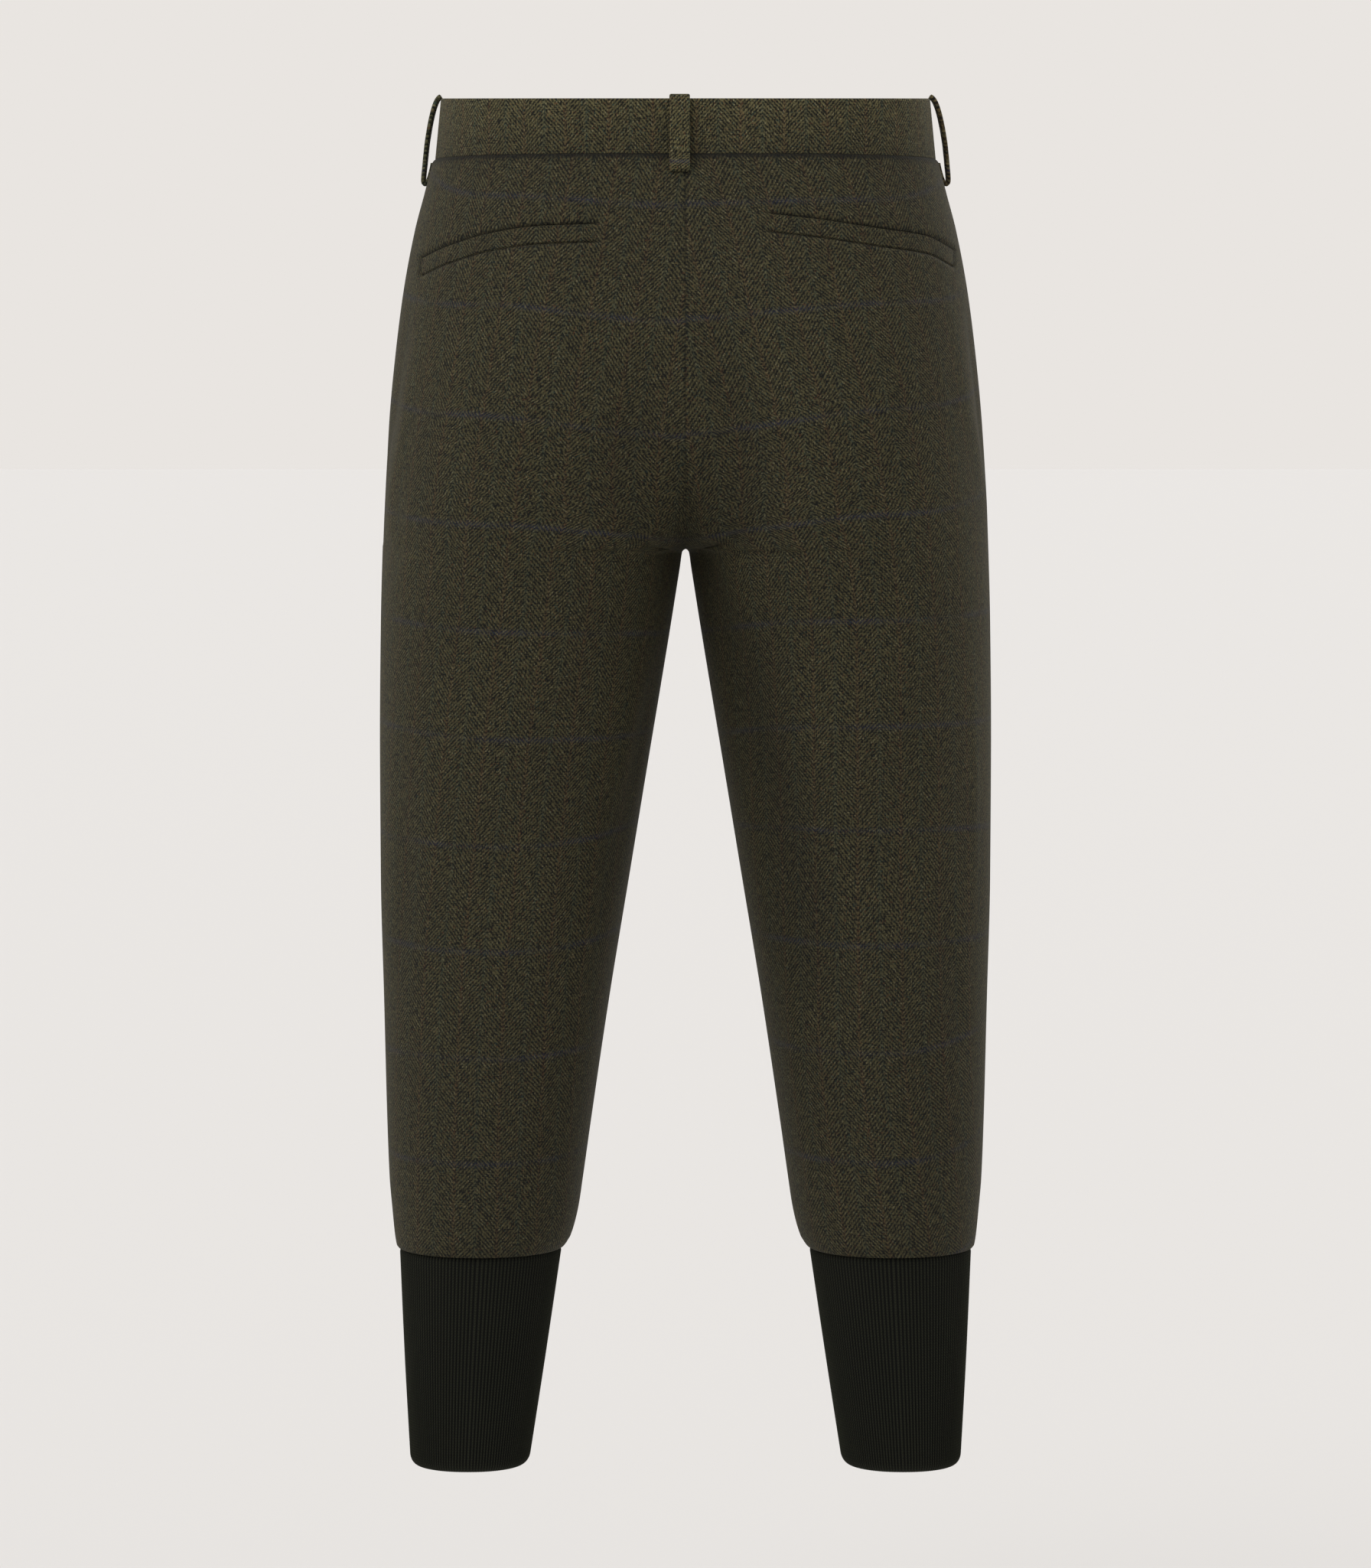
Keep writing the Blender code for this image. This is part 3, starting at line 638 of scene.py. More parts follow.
def panel_piece(name, cloth):
    side_name = name.split("_")[1]
    side = 1.0 if side_name == "left" else -1.0
    lapped = cloth is FLY
    point = cloth.point.copy()
    if lapped:
        lift = (TWEED + LAP_GAP) * ease(1 - cloth.across / FLY_RAMP)
        lift = lift * ease((cloth.centre_z + 0.172) / 0.012)[None, :]
        point = point + cloth.out * lift[:, :, None]
    to_side = cloth.width - cloth.across
    to_centre = cloth.across - cloth.across[:1, :]
    near = 1 - ease(np.minimum(to_side, to_centre) / 0.010)
    hollow = fold_depth(cloth, FOLDS[name]) * (1 - 0.7 * near)
    inwards = hollow.copy()
    inwards += rounded(to_side, SEAM_ROLL) + rounded(to_centre, SEAM_ROLL)
    inwards += rounded(cloth.below_waist, WAIST_ROLL) + rounded(cloth.down_to_hem, HEM_ROLL)
    # painted shade in the seam grooves, and just under the waist seam below the band
    seam_shade = np.exp(-(np.minimum(to_side, to_centre) / 0.0010) ** 2) * 0.6
    tone = np.maximum(seam_shade, np.exp(-(cloth.below_waist / 0.0025) ** 4))
    if cloth.face == "back":
        # the slits get painted shade along the welt's two long edges
        dip, slit_shade = pocket_depth(cloth, side_name)
        inwards += dip
        tone = np.maximum(tone, slit_shade)
    # painted shade makes a hollow a little darker than a ridge, and the lower leg darker than the
    # seat;
    # a ridge's lighter tone is partly painted highlight and partly wear
    lower_leg = ease((THIGH_Z - cloth.point[:, :, 2]) / (THIGH_Z - KNEE_END_Z))
    tone = tone + hollow * FOLD_PAINTED_LIGHT_AND_WEAR + LOWER_LEG_SHADE * lower_leg
    point = point - cloth.out * inwards[:, :, None]
    point[-1, :, 1] += HALF_GAP * OUTWARDS[cloth.face]
    leg = cloth.centre_z <= CROTCH_Z
    point[0, leg, 1] += HALF_GAP * OUTWARDS[cloth.face]
    if not lapped:
        point[0, ~leg, 0] = HALF_GAP
    point[:, :, 0] *= side
    u, v = weave_coordinates(cloth, name)
    bm = grid_bmesh(point, u, v, tone)
    face_outwards(bm, lambda centre: np.array([0.0, OUTWARDS[cloth.face], 0.0]))
    piece = make_object(name + "_cloth", bm, TWEED)
    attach(piece, "root")
    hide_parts(name)
    PANELS[name] = piece


for panel, cloth in (("back_left", BACK), ("back_right", BACK), ("front_left", FLY),
                     ("front_right", FRONT)):
    panel_piece(panel, cloth)

# %% [markdown]
# ## The waistband
# The band is a straight strip doubled over a stiff layer, so it keeps its height all round and its
# edges are round and firm. It is two halves, joined at the centre back under the loop; in front
# the wearer's left end laps over the right one and carries the button.

# %% Build the waistband
BAND_HEIGHT = 0.034
BAND_WALL = 0.0028
BAND_LAP = 0.016
BAND_UNDERLAP = 0.014
BAND_RAMP = 0.016
SIDE_TOP_Z = 0.0207
TOP_SLOPE = 0.045
ROUND_STEPS = 28
V_POINT_BAND = -0.0065


def waist_line(z):
    """The left half of the waist at a height, from the centre back to the centre front."""
    return np.vstack([section_line("back", z), section_line("front", z)[::-1][1:]])


def waist_point(distance, z):
    """The waist's outer point at a distance from the centre back, left positive, and its way out."""
    line = waist_line(z)
    total = length_of(line)
    side = 1.0 if distance >= 0 else -1.0
    reach = abs(distance)
    if reach > total:
        reach = 2 * total - reach
        side = -side
    small = 0.002
    x, y = read_line(line, reach / total)
    ahead = read_line(line, min(reach + small, total) / total)
    behind = read_line(line, max(reach - small, 0.0) / total)
    along = ahead - behind
    if reach < small:
        along = np.array([1.0, 0.0])
    if reach > total - small:
        along = np.array([-1.0, 0.0])
    out = np.array([-along[1], along[0]]) / np.linalg.norm(along)
    return np.array([x * side, y, z]), np.array([out[0] * side, out[1], 0.0])


def band_top(share):
    """The band's upper edge dips a little towards the centre back and front."""
    y = read_line(waist_line(0.0), min(abs(share), 1.0))[1]
    return SIDE_TOP_Z - TOP_SLOPE * abs(y)


def rounded_bar(width, wall, radius, count=ROUND_STEPS):
    """A closed profile: a bar with round corners, as points (along its width, outwards)."""
    corner = np.linspace(0, pi / 2, count // 4)
    points = []
    for k, (cx, cy) in enumerate(((1, 1), (-1, 1), (-1, -1), (1, -1))):
        centre = np.array([cx * (width / 2 - radius), cy * (wall / 2 - radius)])
        for angle in corner + k * pi / 2:
            points.append(centre + radius * np.array([cos(angle), sin(angle)]))
    points.append(points[0])
    return np.array(points)


def band_piece(side_name):
    side = 1.0 if side_name == "left" else -1.0
    end_lap = BAND_LAP if side > 0 else BAND_UNDERLAP
    total = length_of(waist_line(0.0))
    columns = 170
    profile = rounded_bar(1.0, BAND_WALL, BAND_WALL * 0.42)
    heights = profile[:, 0] + 0.5
    # the corner's radius is in metres, so it is put back to scale over the band's height
    heights = np.where(heights > 0.5, 1 - (1 - heights) / BAND_HEIGHT, heights / BAND_HEIGHT)
    point = np.zeros((columns + 1, len(profile), 3))
    u = np.zeros(point.shape[:2])
    v = np.zeros(point.shape[:2])
    low = SEAM_Z + HALF_GAP
    for i in range(columns + 1):
        distance = HALF_GAP + (total + end_lap - HALF_GAP) * i / columns
        top = band_top(distance / total)
        for j, (height, off) in enumerate(zip(heights, profile[:, 1])):
            z = low + (top - low) * np.clip(height, 0, 1)
            spot, out = waist_point(distance, z)
            if side > 0:
                ramp = total - BAND_UNDERLAP - distance
                spot = spot + out * (BAND_WALL + LAP_GAP) * ease(1 - ramp / BAND_RAMP)
            point[i, j] = spot + out * (off - BAND_WALL / 2)
            u[i, j] = -distance * side + V_POINT_BAND
            v[i, j] = z
    point[:, :, 0] *= side
    # painted shade along the band's lower edge, in the groove where it meets the panels
    edge = np.minimum(point[:, :, 2] - SEAM_Z, 0.02)
    tone = np.exp(-(edge / 0.0013) ** 2)
    piece = closed_strip("waistband_" + side_name + "_cloth", point, u, v, tone)
    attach(piece, "root")
    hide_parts("waistband_" + side_name)
    return piece


BANDS = [band_piece("left"), band_piece("right")]

# %% [markdown]
# ## Belt loops
# A belt loop is a folded strip. One end is caught in the waist seam; the strip hangs down a little,
# turns up and outwards over the belt's space, and ends over the band's upper edge. From the side
# it makes a narrow drop shape, so its path is given as (off the cloth, height) points.

# %% Build the belt loops
Loop = namedtuple("Loop", "name share shift stand low")
LOOPS = [
    Loop("loop_back", 0.0, 0.0034, 0.72, 0.62),
    Loop("loop_side_left", 0.515, 0.0, 0.94, 0.96),
    Loop("loop_side_right", -0.515, 0.0, 1.05, 0.96),
    Loop("loop_front_left", 0.81, 0.0, 0.90, 0.80),
    Loop("loop_front_right", -0.81, 0.0, 0.90, 0.80),
]
LOOP_WIDTH = 0.012
LOOP_WALL = 0.0025
# the height of the band's edge that the path below is drawn for
PATH_EDGE_Z = 0.0168
LOOP_PATH = np.array([
    (0.0013, -0.0180), (0.0014, -0.0220), (0.0015, -0.0260), (0.0019, -0.0295), (0.0031, -0.0313),
    (0.0046, -0.0300), (0.0056, -0.0262), (0.0063, -0.0210), (0.0067, -0.0150), (0.0068, -0.0080),
    (0.0064, -0.0010), (0.0055, 0.0060), (0.0042, 0.0120), (0.0028, 0.0158), (0.0014, 0.0176),
    (0.0004, 0.0182),
])


def smooth_path(points, count):
    """A smooth line through the points, read at even distances."""
    run = run_along(points)
    fine = np.linspace(0, run[-1], 400)
    line = np.stack([curve_through(run, points[:, k])(fine) for k in range(points.shape[1])], axis=1)
    return read_line(line, np.linspace(0, 1, count))


def loop_piece(loop):
    path = smooth_path(LOOP_PATH, 56)
    edge_z = band_top(abs(loop.share))
    profile = rounded_bar(LOOP_WIDTH, LOOP_WALL, LOOP_WALL * 0.45, 24)
    way = np.gradient(path, axis=0)
    way /= np.linalg.norm(way, axis=1, keepdims=True)
    point = np.zeros((len(path), len(profile), 3))
    u = np.zeros(point.shape[:2])
    v = np.zeros(point.shape[:2])
    run = run_along(path)
    for i, (off, z) in enumerate(path):
        z = z + (edge_z - PATH_EDGE_Z) * ease((z + 0.01) / 0.027)
        z = max(z, SEAM_Z) + min(z - SEAM_Z, 0.0) * loop.low
        body_z = min(z, edge_z)
        for j, (shift, lift) in enumerate(profile):
            distance = loop.share * length_of(waist_line(body_z)) + loop.shift + shift
            spot, out = waist_point(distance, body_z)
            # the strip's own way out, turned with its path
            away = way[i, 1] * lift
            up = -way[i, 0] * lift
            spot[2] = z + up
            stand = 0.0011 + (off - 0.0011) * loop.stand
            point[i, j] = spot + out * (stand + away)
            u[i, j] = 0.0064 - shift
            v[i, j] = run[i]
    piece = closed_strip(loop.name + "_cloth", point, u, v)
    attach(piece, "root")
    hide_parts(loop.name)
    return piece


LOOP_PIECES = [loop_piece(loop) for loop in LOOPS]
print("belt loops", len(LOOP_PIECES), "each about", round(length_of(LOOP_PATH), 4), "m long")

# %% [markdown]
# ## Pocket welts
# A welt is cut from the same tweed and folded, so its long edges are round. It lies in the dip that
# the panel makes for it, almost level with the panel.

# %% Build the welts
WELT_WALL = 0.0012
WELT_MARGIN = 0.0009
WELT_SINK = 0.0004
WELT_SHIFT = 0.0012


def read_panel(cloth, values, x, z):
    """One of the panel's grids of values where the cloth crosses (x, z)."""
    rows = range(cloth.point.shape[1])
    heights = [np.interp(x, cloth.point[:, j, 0], cloth.point[:, j, 2]) for j in rows]
    across = [np.interp(x, cloth.point[:, j, 0], values[:, j]) for j in rows]
    return np.interp(-z, -np.array(heights), across)


def on_section(face, x, z):
    """The outer point of the section at z where the cloth is at x."""
    line = section_line(face, z)
    y = np.interp(x, line[:, 0], line[:, 1])
    return np.array([x, y, z])


def welt_piece(side_name):
    side = 1.0 if side_name == "left" else -1.0
    edge = WELTS[side_name]
    top = welt_top(side_name)
    height = WELT_HEIGHT - 2 * WELT_MARGIN
    profile = rounded_bar(height, WELT_WALL, WELT_WALL * 0.48, 24)
    xs = np.linspace(edge[0].x + 0.0006, edge[-1].x - 0.0008, 60)
    point = np.zeros((len(xs), len(profile), 3))
    u = np.zeros(point.shape[:2])
    v = np.zeros(point.shape[:2])
    weave_u, weave_v = weave_coordinates(BACK, "back_" + side_name)
    for i, x in enumerate(xs):
        z_middle = float(top(x)) - WELT_HEIGHT / 2
        out = np.array([read_panel(BACK, BACK.out[:, :, k], x, z_middle) for k in range(3)])
        out /= np.linalg.norm(out)
        u[i] = read_panel(BACK, weave_u, x, z_middle) + WELT_SHIFT
        v[i] = read_panel(BACK, weave_v, x, z_middle) + profile[:, 0] + WELT_SHIFT
        for j, (up, lift) in enumerate(profile):
            spot = on_section("back", x, z_middle + up)
            point[i, j] = spot + out * (lift + WELT_WALL / 2 - WELT_SINK)
    point[:, :, 0] *= side
    piece = closed_strip("pocket_welt_" + side_name + "_cloth", point, u, v)
    length = float(np.hypot(np.diff(xs), np.diff(top(xs))).sum() * 1.25)
    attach(piece, "root")
    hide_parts("pocket_welt_" + side_name)
    return piece


WELT_PIECES = [welt_piece("left"), welt_piece("right")]

# %% [markdown]
# ## Knitted cuffs
# A rib knit is columns of stitches that stand up between columns that sink. The cuff is a doubled
# tube: it comes out from under the hem, narrows down the calf and turns in at its end. The ribs
# are real waves in the mesh, since their rows of light and shade are what shows of the knit.

# %% Build the cuffs
Cuff = namedtuple("Cuff", "z inner_x outer_x back_y front_y")
CUFFS = [
    Cuff(HEM_Z, 0.0748, 0.1732, 0.0585, -0.0520),
    Cuff(-0.7400, 0.0852, 0.1702, 0.0540, -0.0430),
    Cuff(-0.8030, 0.0950, 0.1668, 0.0480, -0.0330),
]
CUFF = {name: column(CUFFS, name) for name in ("inner_x", "outer_x", "back_y", "front_y")}
CUFF_SQUARENESS = 2.15
RIBS = 136
POINTS_PER_RIB = 6
RIB_HEIGHT = 0.0008
KNIT_WALL = 0.0024
END_ROUND = 0.0060
TUCK = 0.0050


def cuff_ring(angles, z, inset):
    """Points round the cuff at a height, moved in from its outer side."""
    level = min(max(z, CUFF_END_Z), HEM_Z)
    half_width = (CUFF["outer_x"](level) - CUFF["inner_x"](level)) / 2
    half_depth = (CUFF["back_y"](level) - CUFF["front_y"](level)) / 2
    power = 2 / CUFF_SQUARENESS
    x = half_width * np.sign(np.cos(angles)) * np.abs(np.cos(angles)) ** power
    y = half_depth * np.sign(np.sin(angles)) * np.abs(np.sin(angles)) ** power
    out = np.stack([x / half_width ** 2, y / half_depth ** 2], axis=1)
    out /= np.linalg.norm(out, axis=1, keepdims=True)
    x = x + (CUFF["outer_x"](level) + CUFF["inner_x"](level)) / 2 - inset * out[:, 0]
    y = y + (CUFF["back_y"](level) + CUFF["front_y"](level)) / 2 - inset * out[:, 1]
    return np.stack([x, y, np.full(len(angles), z)], axis=1)


def cuff_piece(side_name):
    side = 1.0 if side_name == "left" else -1.0
    count = RIBS * POINTS_PER_RIB
    angles = np.linspace(0, 2 * pi, count + 1)
    wave = 0.5 - 0.5 * np.cos(angles * RIBS)
    # the profile: inset and height, from inside the hem down the outside, round the end and up
    outside = np.concatenate([HEM_Z + np.array([TUCK, 0.002, 0.0, -0.0015]),
                              np.linspace(HEM_Z - 0.004, CUFF_END_Z + END_ROUND, 26)])
    rows = [(0.0026 * (1 - ease((HEM_Z - z + 0.0015) / 0.0045)), z, 1.0) for z in outside]
    for t in np.linspace(0.12, 1, 9):
        turn = t * pi / 2
        rows.append((0.0040 * (1 - cos(turn)), CUFF_END_Z + END_ROUND * (1 - sin(turn)),
                     1 - 0.7 * t))
    for t in np.linspace(0.3, 1, 4):
        rows.append((0.0040 + KNIT_WALL * sin(t * pi / 2) * 0.6, CUFF_END_Z + KNIT_WALL * t * t, 0.1))
    for z in np.linspace(CUFF_END_Z + 0.008, HEM_Z + TUCK, 8):
        rows.append((KNIT_WALL + 0.002 * ease(1 - (z - CUFF_END_Z) / 0.02)
                     + 0.0026 * ease((z - HEM_Z + 0.004) / 0.004), z, 0.1))
    point = np.zeros((count + 1, len(rows) + 1, 3))
    u = np.zeros(point.shape[:2])
    v = np.zeros(point.shape[:2])
    tone = np.zeros(point.shape[:2])
    for j, (inset, z, ribs) in enumerate(rows + rows[:1]):
        ring = cuff_ring(angles, z, inset + RIB_HEIGHT * wave * ribs)
        point[:, j] = ring
        u[:, j] = angles / (2 * pi) * RIBS
        v[:, j] = z
        # the sunk columns' depth, which the knit turns into painted shade
        tone[:, j] = wave * ribs
    point[-1] = point[0]
    point[:, :, 0] *= side
    piece = closed_strip("cuff_" + side_name + "_knit", point, u, v, tone, ends=False)
    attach(piece, "root")
    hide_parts("cuff_" + side_name)
    return piece


CUFF_PIECES = [cuff_piece("left"), cuff_piece("right")]
print("cuffs", [len(piece.data.polygons) for piece in CUFF_PIECES], "faces")

# %% [markdown]
# ## Front closing
# The photo shows only the back. Breeches close in front with a zip under the fly's lap and a button
# through the band, so those two are here in their plainest form: the zip's tape behind the panels,
# and a four-hole horn button with its thread.

# %% Build the zip's tape and the button
ZIP_WIDTH = 0.024
ZIP_TOP_Z = -0.021
ZIP_END_Z = -0.160


def zip_piece():
    rows = 60
    columns = 24
    point = np.zeros((columns + 1, rows + 1, 3))
    u = np.zeros(point.shape[:2])
    v = np.zeros(point.shape[:2])
    for j in range(rows + 1):
        z = ZIP_END_Z + (ZIP_TOP_Z - ZIP_END_Z) * j / rows
        line = section_line("front", z)
        for i in range(columns + 1):
            across = ZIP_WIDTH * (i / columns - 0.5)
            x, y = read_line(line, abs(across) / length_of(line))
            coil = 0.0009 * np.exp(-(across / 0.0022) ** 2)
            point[i, j] = (np.sign(across) * x, y + TWEED + 0.0010 + coil, z)
            u[i, j] = across
            v[i, j] = z
    bm = grid_bmesh(point, u, v)
    face_outwards(bm, lambda centre: np.array([0.0, -1.0, 0.0]))
    piece = make_object("fly_zip_tape", bm, 0.0009)
    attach(piece, "root")
    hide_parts("fly_zip")
    return piece


BUTTON_RADIUS = 0.0085
BUTTON_DEPTH = 0.0028
BUTTON_X = -0.002


def button_piece():
    """A turned disc with a raised rim; its four holes are pressed into its face."""
    profile = [(0.0, 0.0), (0.80, 0.0), (0.95, 0.16), (1.0, 0.42), (1.0, 0.66), (0.97, 0.86),
               (0.90, 1.0), (0.80, 1.0), (0.72, 0.88), (0.64, 0.70), (0.54, 0.66), (0.46, 0.66),
               (0.40, 0.66), (0.34, 0.66), (0.28, 0.66), (0.22, 0.66), (0.16, 0.66), (0.10, 0.66),
               (0.05, 0.66), (0.0, 0.66)]
    bm = bmesh.new()
    previous = None
    for radius, depth in profile:
        vert = bm.verts.new((radius * BUTTON_RADIUS, 0.0, depth * BUTTON_DEPTH))
        if previous:
            bm.edges.new((previous, vert))
        previous = vert
    bmesh.ops.spin(bm, geom=bm.verts[:] + bm.edges[:], cent=(0, 0, 0), axis=(0, 0, 1),
                   angle=2 * pi, steps=96, use_merge=True)
    bmesh.ops.remove_doubles(bm, verts=bm.verts[:], dist=0.00001)
    for vert in bm.verts:
        if vert.co.z < BUTTON_DEPTH * 0.6 or np.hypot(vert.co.x, vert.co.y) > 0.5 * BUTTON_RADIUS:
            continue
        for angle in (pi / 4, 3 * pi / 4, 5 * pi / 4, 7 * pi / 4):
            gap = np.hypot(vert.co.x - 0.0022 * cos(angle), vert.co.y - 0.0022 * sin(angle))
            vert.co.z -= 0.0012 * ease((0.0011 - gap) / 0.0005)
    seat, up, out = button_seat()
    across = np.array([1.0, 0.0, 0.0])
    for vert in bm.verts:
        x, y, z = vert.co
        vert.co = seat + across * x + up * y + out * z
    bmesh.ops.recalc_face_normals(bm, faces=bm.faces[:])
    if bm.calc_volume(signed=True) < 0:
        bmesh.ops.reverse_faces(bm, faces=bm.faces[:])
    piece = make_object("waist_button_horn", bm, smooth_angle=40)
    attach(piece, "root")
    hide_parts("waist_button")
    return piece


def button_seat():
    upper, _ = waist_point(length_of(waist_line(BUTTON_RADIUS)), BUTTON_RADIUS)
    lower, _ = waist_point(length_of(waist_line(-BUTTON_RADIUS)), -BUTTON_RADIUS)
    up = (upper - lower) / np.linalg.norm(upper - lower)
    out = np.cross(np.array([1.0, 0.0, 0.0]), up)
    seat = (upper + lower) / 2 + out * (BAND_WALL + LAP_GAP + 0.0006)
    return seat + np.array([BUTTON_X, 0.0, 0.0]), up, out


def thread_piece():
    """The button's thread: a cross of two round bars, sunk into the holes at its ends."""
    seat, up, out = button_seat()
    across = np.array([1.0, 0.0, 0.0])
    bm = bmesh.new()
    for angle in (pi / 4, 3 * pi / 4):
        way = across * cos(angle) + up * sin(angle)
        beside = np.cross(out, way)
        path = [(-0.0024, 0.0006), (-0.0020, 0.0019), (-0.0010, 0.0023), (0.0, 0.0024),
                (0.0010, 0.0023), (0.0020, 0.0019), (0.0024, 0.0006)]
        made = bmesh.ops.create_grid(bm, x_segments=6, y_segments=10, size=0.5)
        for vert in made["verts"]:
            i = round((vert.co.x + 0.5) * 6)
            turn = (vert.co.y + 0.5) * 2 * pi
            along, lift = path[i]
            vert.co = (seat + way * along + out * (lift + 0.0004 * sin(turn))
                       + beside * 0.0004 * cos(turn))
    bmesh.ops.remove_doubles(bm, verts=bm.verts[:], dist=0.00002)
    bmesh.ops.holes_fill(bm, edges=[edge for edge in bm.edges if edge.is_boundary])
    bmesh.ops.recalc_face_normals(bm, faces=bm.faces[:])
    piece = make_object("waist_button_thread", bm)
    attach(piece, "root")
    return piece


ZIP = zip_piece()
BUTTON = button_piece()
THREAD = thread_piece()

# %% [markdown]
# ## Shader maths
# A weave is arithmetic on the two weave coordinates. This small class wraps a socket so that the
# arithmetic can be written as Python expressions; each operator adds its Math node.

# %% A class for shader maths


class Value:
    """A number that varies over the surface."""

    def __init__(self, shader, socket):
        self.shader = shader
        self.socket = socket

    def maths(self, operation, *values):
        node = self.shader.add("ShaderNodeMath", {"operation": operation}, dict(enumerate(values)))
        return Value(self.shader, node.outputs[0])

    def __add__(self, other):
        return self.maths("ADD", self, other)

    __radd__ = __add__

    def __sub__(self, other):
        return self.maths("SUBTRACT", self, other)

    def __rsub__(self, other):
        return self.maths("SUBTRACT", other, self)

    def __mul__(self, other):
        return self.maths("MULTIPLY", self, other)

    __rmul__ = __mul__

    def __truediv__(self, other):
        return self.maths("DIVIDE", self, other)

    def floor(self):
        return self.maths("FLOOR", self)

    def fraction(self):
        return self.maths("FRACT", self)

    def wave(self, period):
        """A cosine from 0 to 1, highest at whole periods."""
        return self.maths("COSINE", self * (2 * pi / period)) * 0.5 + 0.5

    def to_peak(self, period):
        """The distance to the nearest whole period."""
        return self.maths("PINGPONG", self, period / 2)

    def bell(self, width):
        """1 where the value is 0, falling to 0 at about twice the width."""
        scaled = self / width
        return self.maths("EXPONENT", scaled * scaled * -1.0)

    def above(self, low, high):
        """0 up to low and 1 from high, smooth between."""
        node = self.shader.add("ShaderNodeMapRange", {"interpolation_type": "SMOOTHSTEP"},
                               {"Value": self, "From Min": low, "From Max": high})
        return Value(self.shader, node.outputs[0])


class Shader:
    """A material's nodes, added one at a time."""

    def __init__(self, name):
        self.material = bpy.data.materials.new(name)
        self.material.use_nodes = True
        self.tree = self.material.node_tree
        self.surface = self.tree.nodes["Principled BSDF"]

    def add(self, kind, settings, inputs):
        """Add a node, set its settings first, then give its sockets values or links."""
        node = self.tree.nodes.new(kind)
        for name, value in settings.items():
            setattr(node, name, value)
        for name, value in inputs.items():
            self.feed(node.inputs[name], value)
        return node

    def feed(self, socket, value):
        if isinstance(value, Value):
            self.tree.links.new(value.socket, socket)
        else:
            socket.default_value = value

    def value(self, node, output=0):
        return Value(self, node.outputs[output])

    def weave(self):
        node = self.add("ShaderNodeUVMap", {"uv_map": UV_NAME}, {})
        split = self.add("ShaderNodeSeparateXYZ", {}, {0: self.value(node)})
        return self.value(split, 0), self.value(split, 1)

    # the painted shade that a piece carries at its vertices
    def tone(self):
        return self.value(self.add("ShaderNodeAttribute", {"attribute_name": PAINTED_SHADE_NAME}, {}), "Fac")

    def noise(self, x, y, detail=1.0, seed=0.0):
        """Noise from 0 to 1 with features about 1 long in x and y."""
        place = self.add("ShaderNodeCombineXYZ", {}, {0: x, 1: y, 2: seed})
        node = self.add("ShaderNodeTexNoise", {"noise_dimensions": "3D"},
                        {"Vector": self.value(place), "Scale": 1.0, "Detail": detail})
        return self.value(node, 0)

    def speckle(self, x, y, seed=0.0):
        """A random number from 0 to 1 for each whole step of x and y."""
        place = self.add("ShaderNodeCombineXYZ", {}, {0: x.floor(), 1: y.floor(), 2: seed})
        node = self.add("ShaderNodeTexWhiteNoise", {"noise_dimensions": "3D"},
                        {"Vector": self.value(place)})
        return self.value(node, 0)

    def mix(self, mask, low, high, blend="MIX"):
        """One colour where the mask is 0 and another where it is 1."""
        node = self.add("ShaderNodeMix", {"data_type": "RGBA", "blend_type": blend},
                        {0: mask, 6: low, 7: high})
        return self.value(node, 2)

    def bump(self, height, distance, strength=1.0):
        node = self.add("ShaderNodeBump", {}, {"Height": height, "Distance": distance,
                                               "Strength": strength})
        self.feed(self.surface.inputs["Normal"], self.value(node))


def rgb(red, green, blue):
    """A colour as seen on a screen, 0 to 255, as the linear values that a shader needs."""
    linear = []
    for level in (red, green, blue):
        level = level / 255
        linear.append(level / 12.92 if level <= 0.04045 else ((level + 0.055) / 1.055) ** 2.4)
    return (*linear, 1.0)


# %% [markdown]
# ## Herringbone tweed
# The weave is a twill whose slant turns back every 12.8 mm, which gives the chevrons. Its lines are
# 1.8 mm apart. Warp and weft are two olives made of mixed fibres, so each yarn has its own tone
# and there are flecks of straw, rust and teal. A rust warp runs in every chevron's lower point and a
# teal one in its upper point, and a navy weft crosses every 64 mm. Each shows only where its own
# yarns lie on top, so the checks look broken and faint.

# %% The tweed material
HALF_STRIPE = 0.0128
TWILL_RISE = 2.66e-3
SLANT = 1.12
YARN = 0.00062
CHECK_HEIGHT = 0.0636
CHECK_START = -0.0410


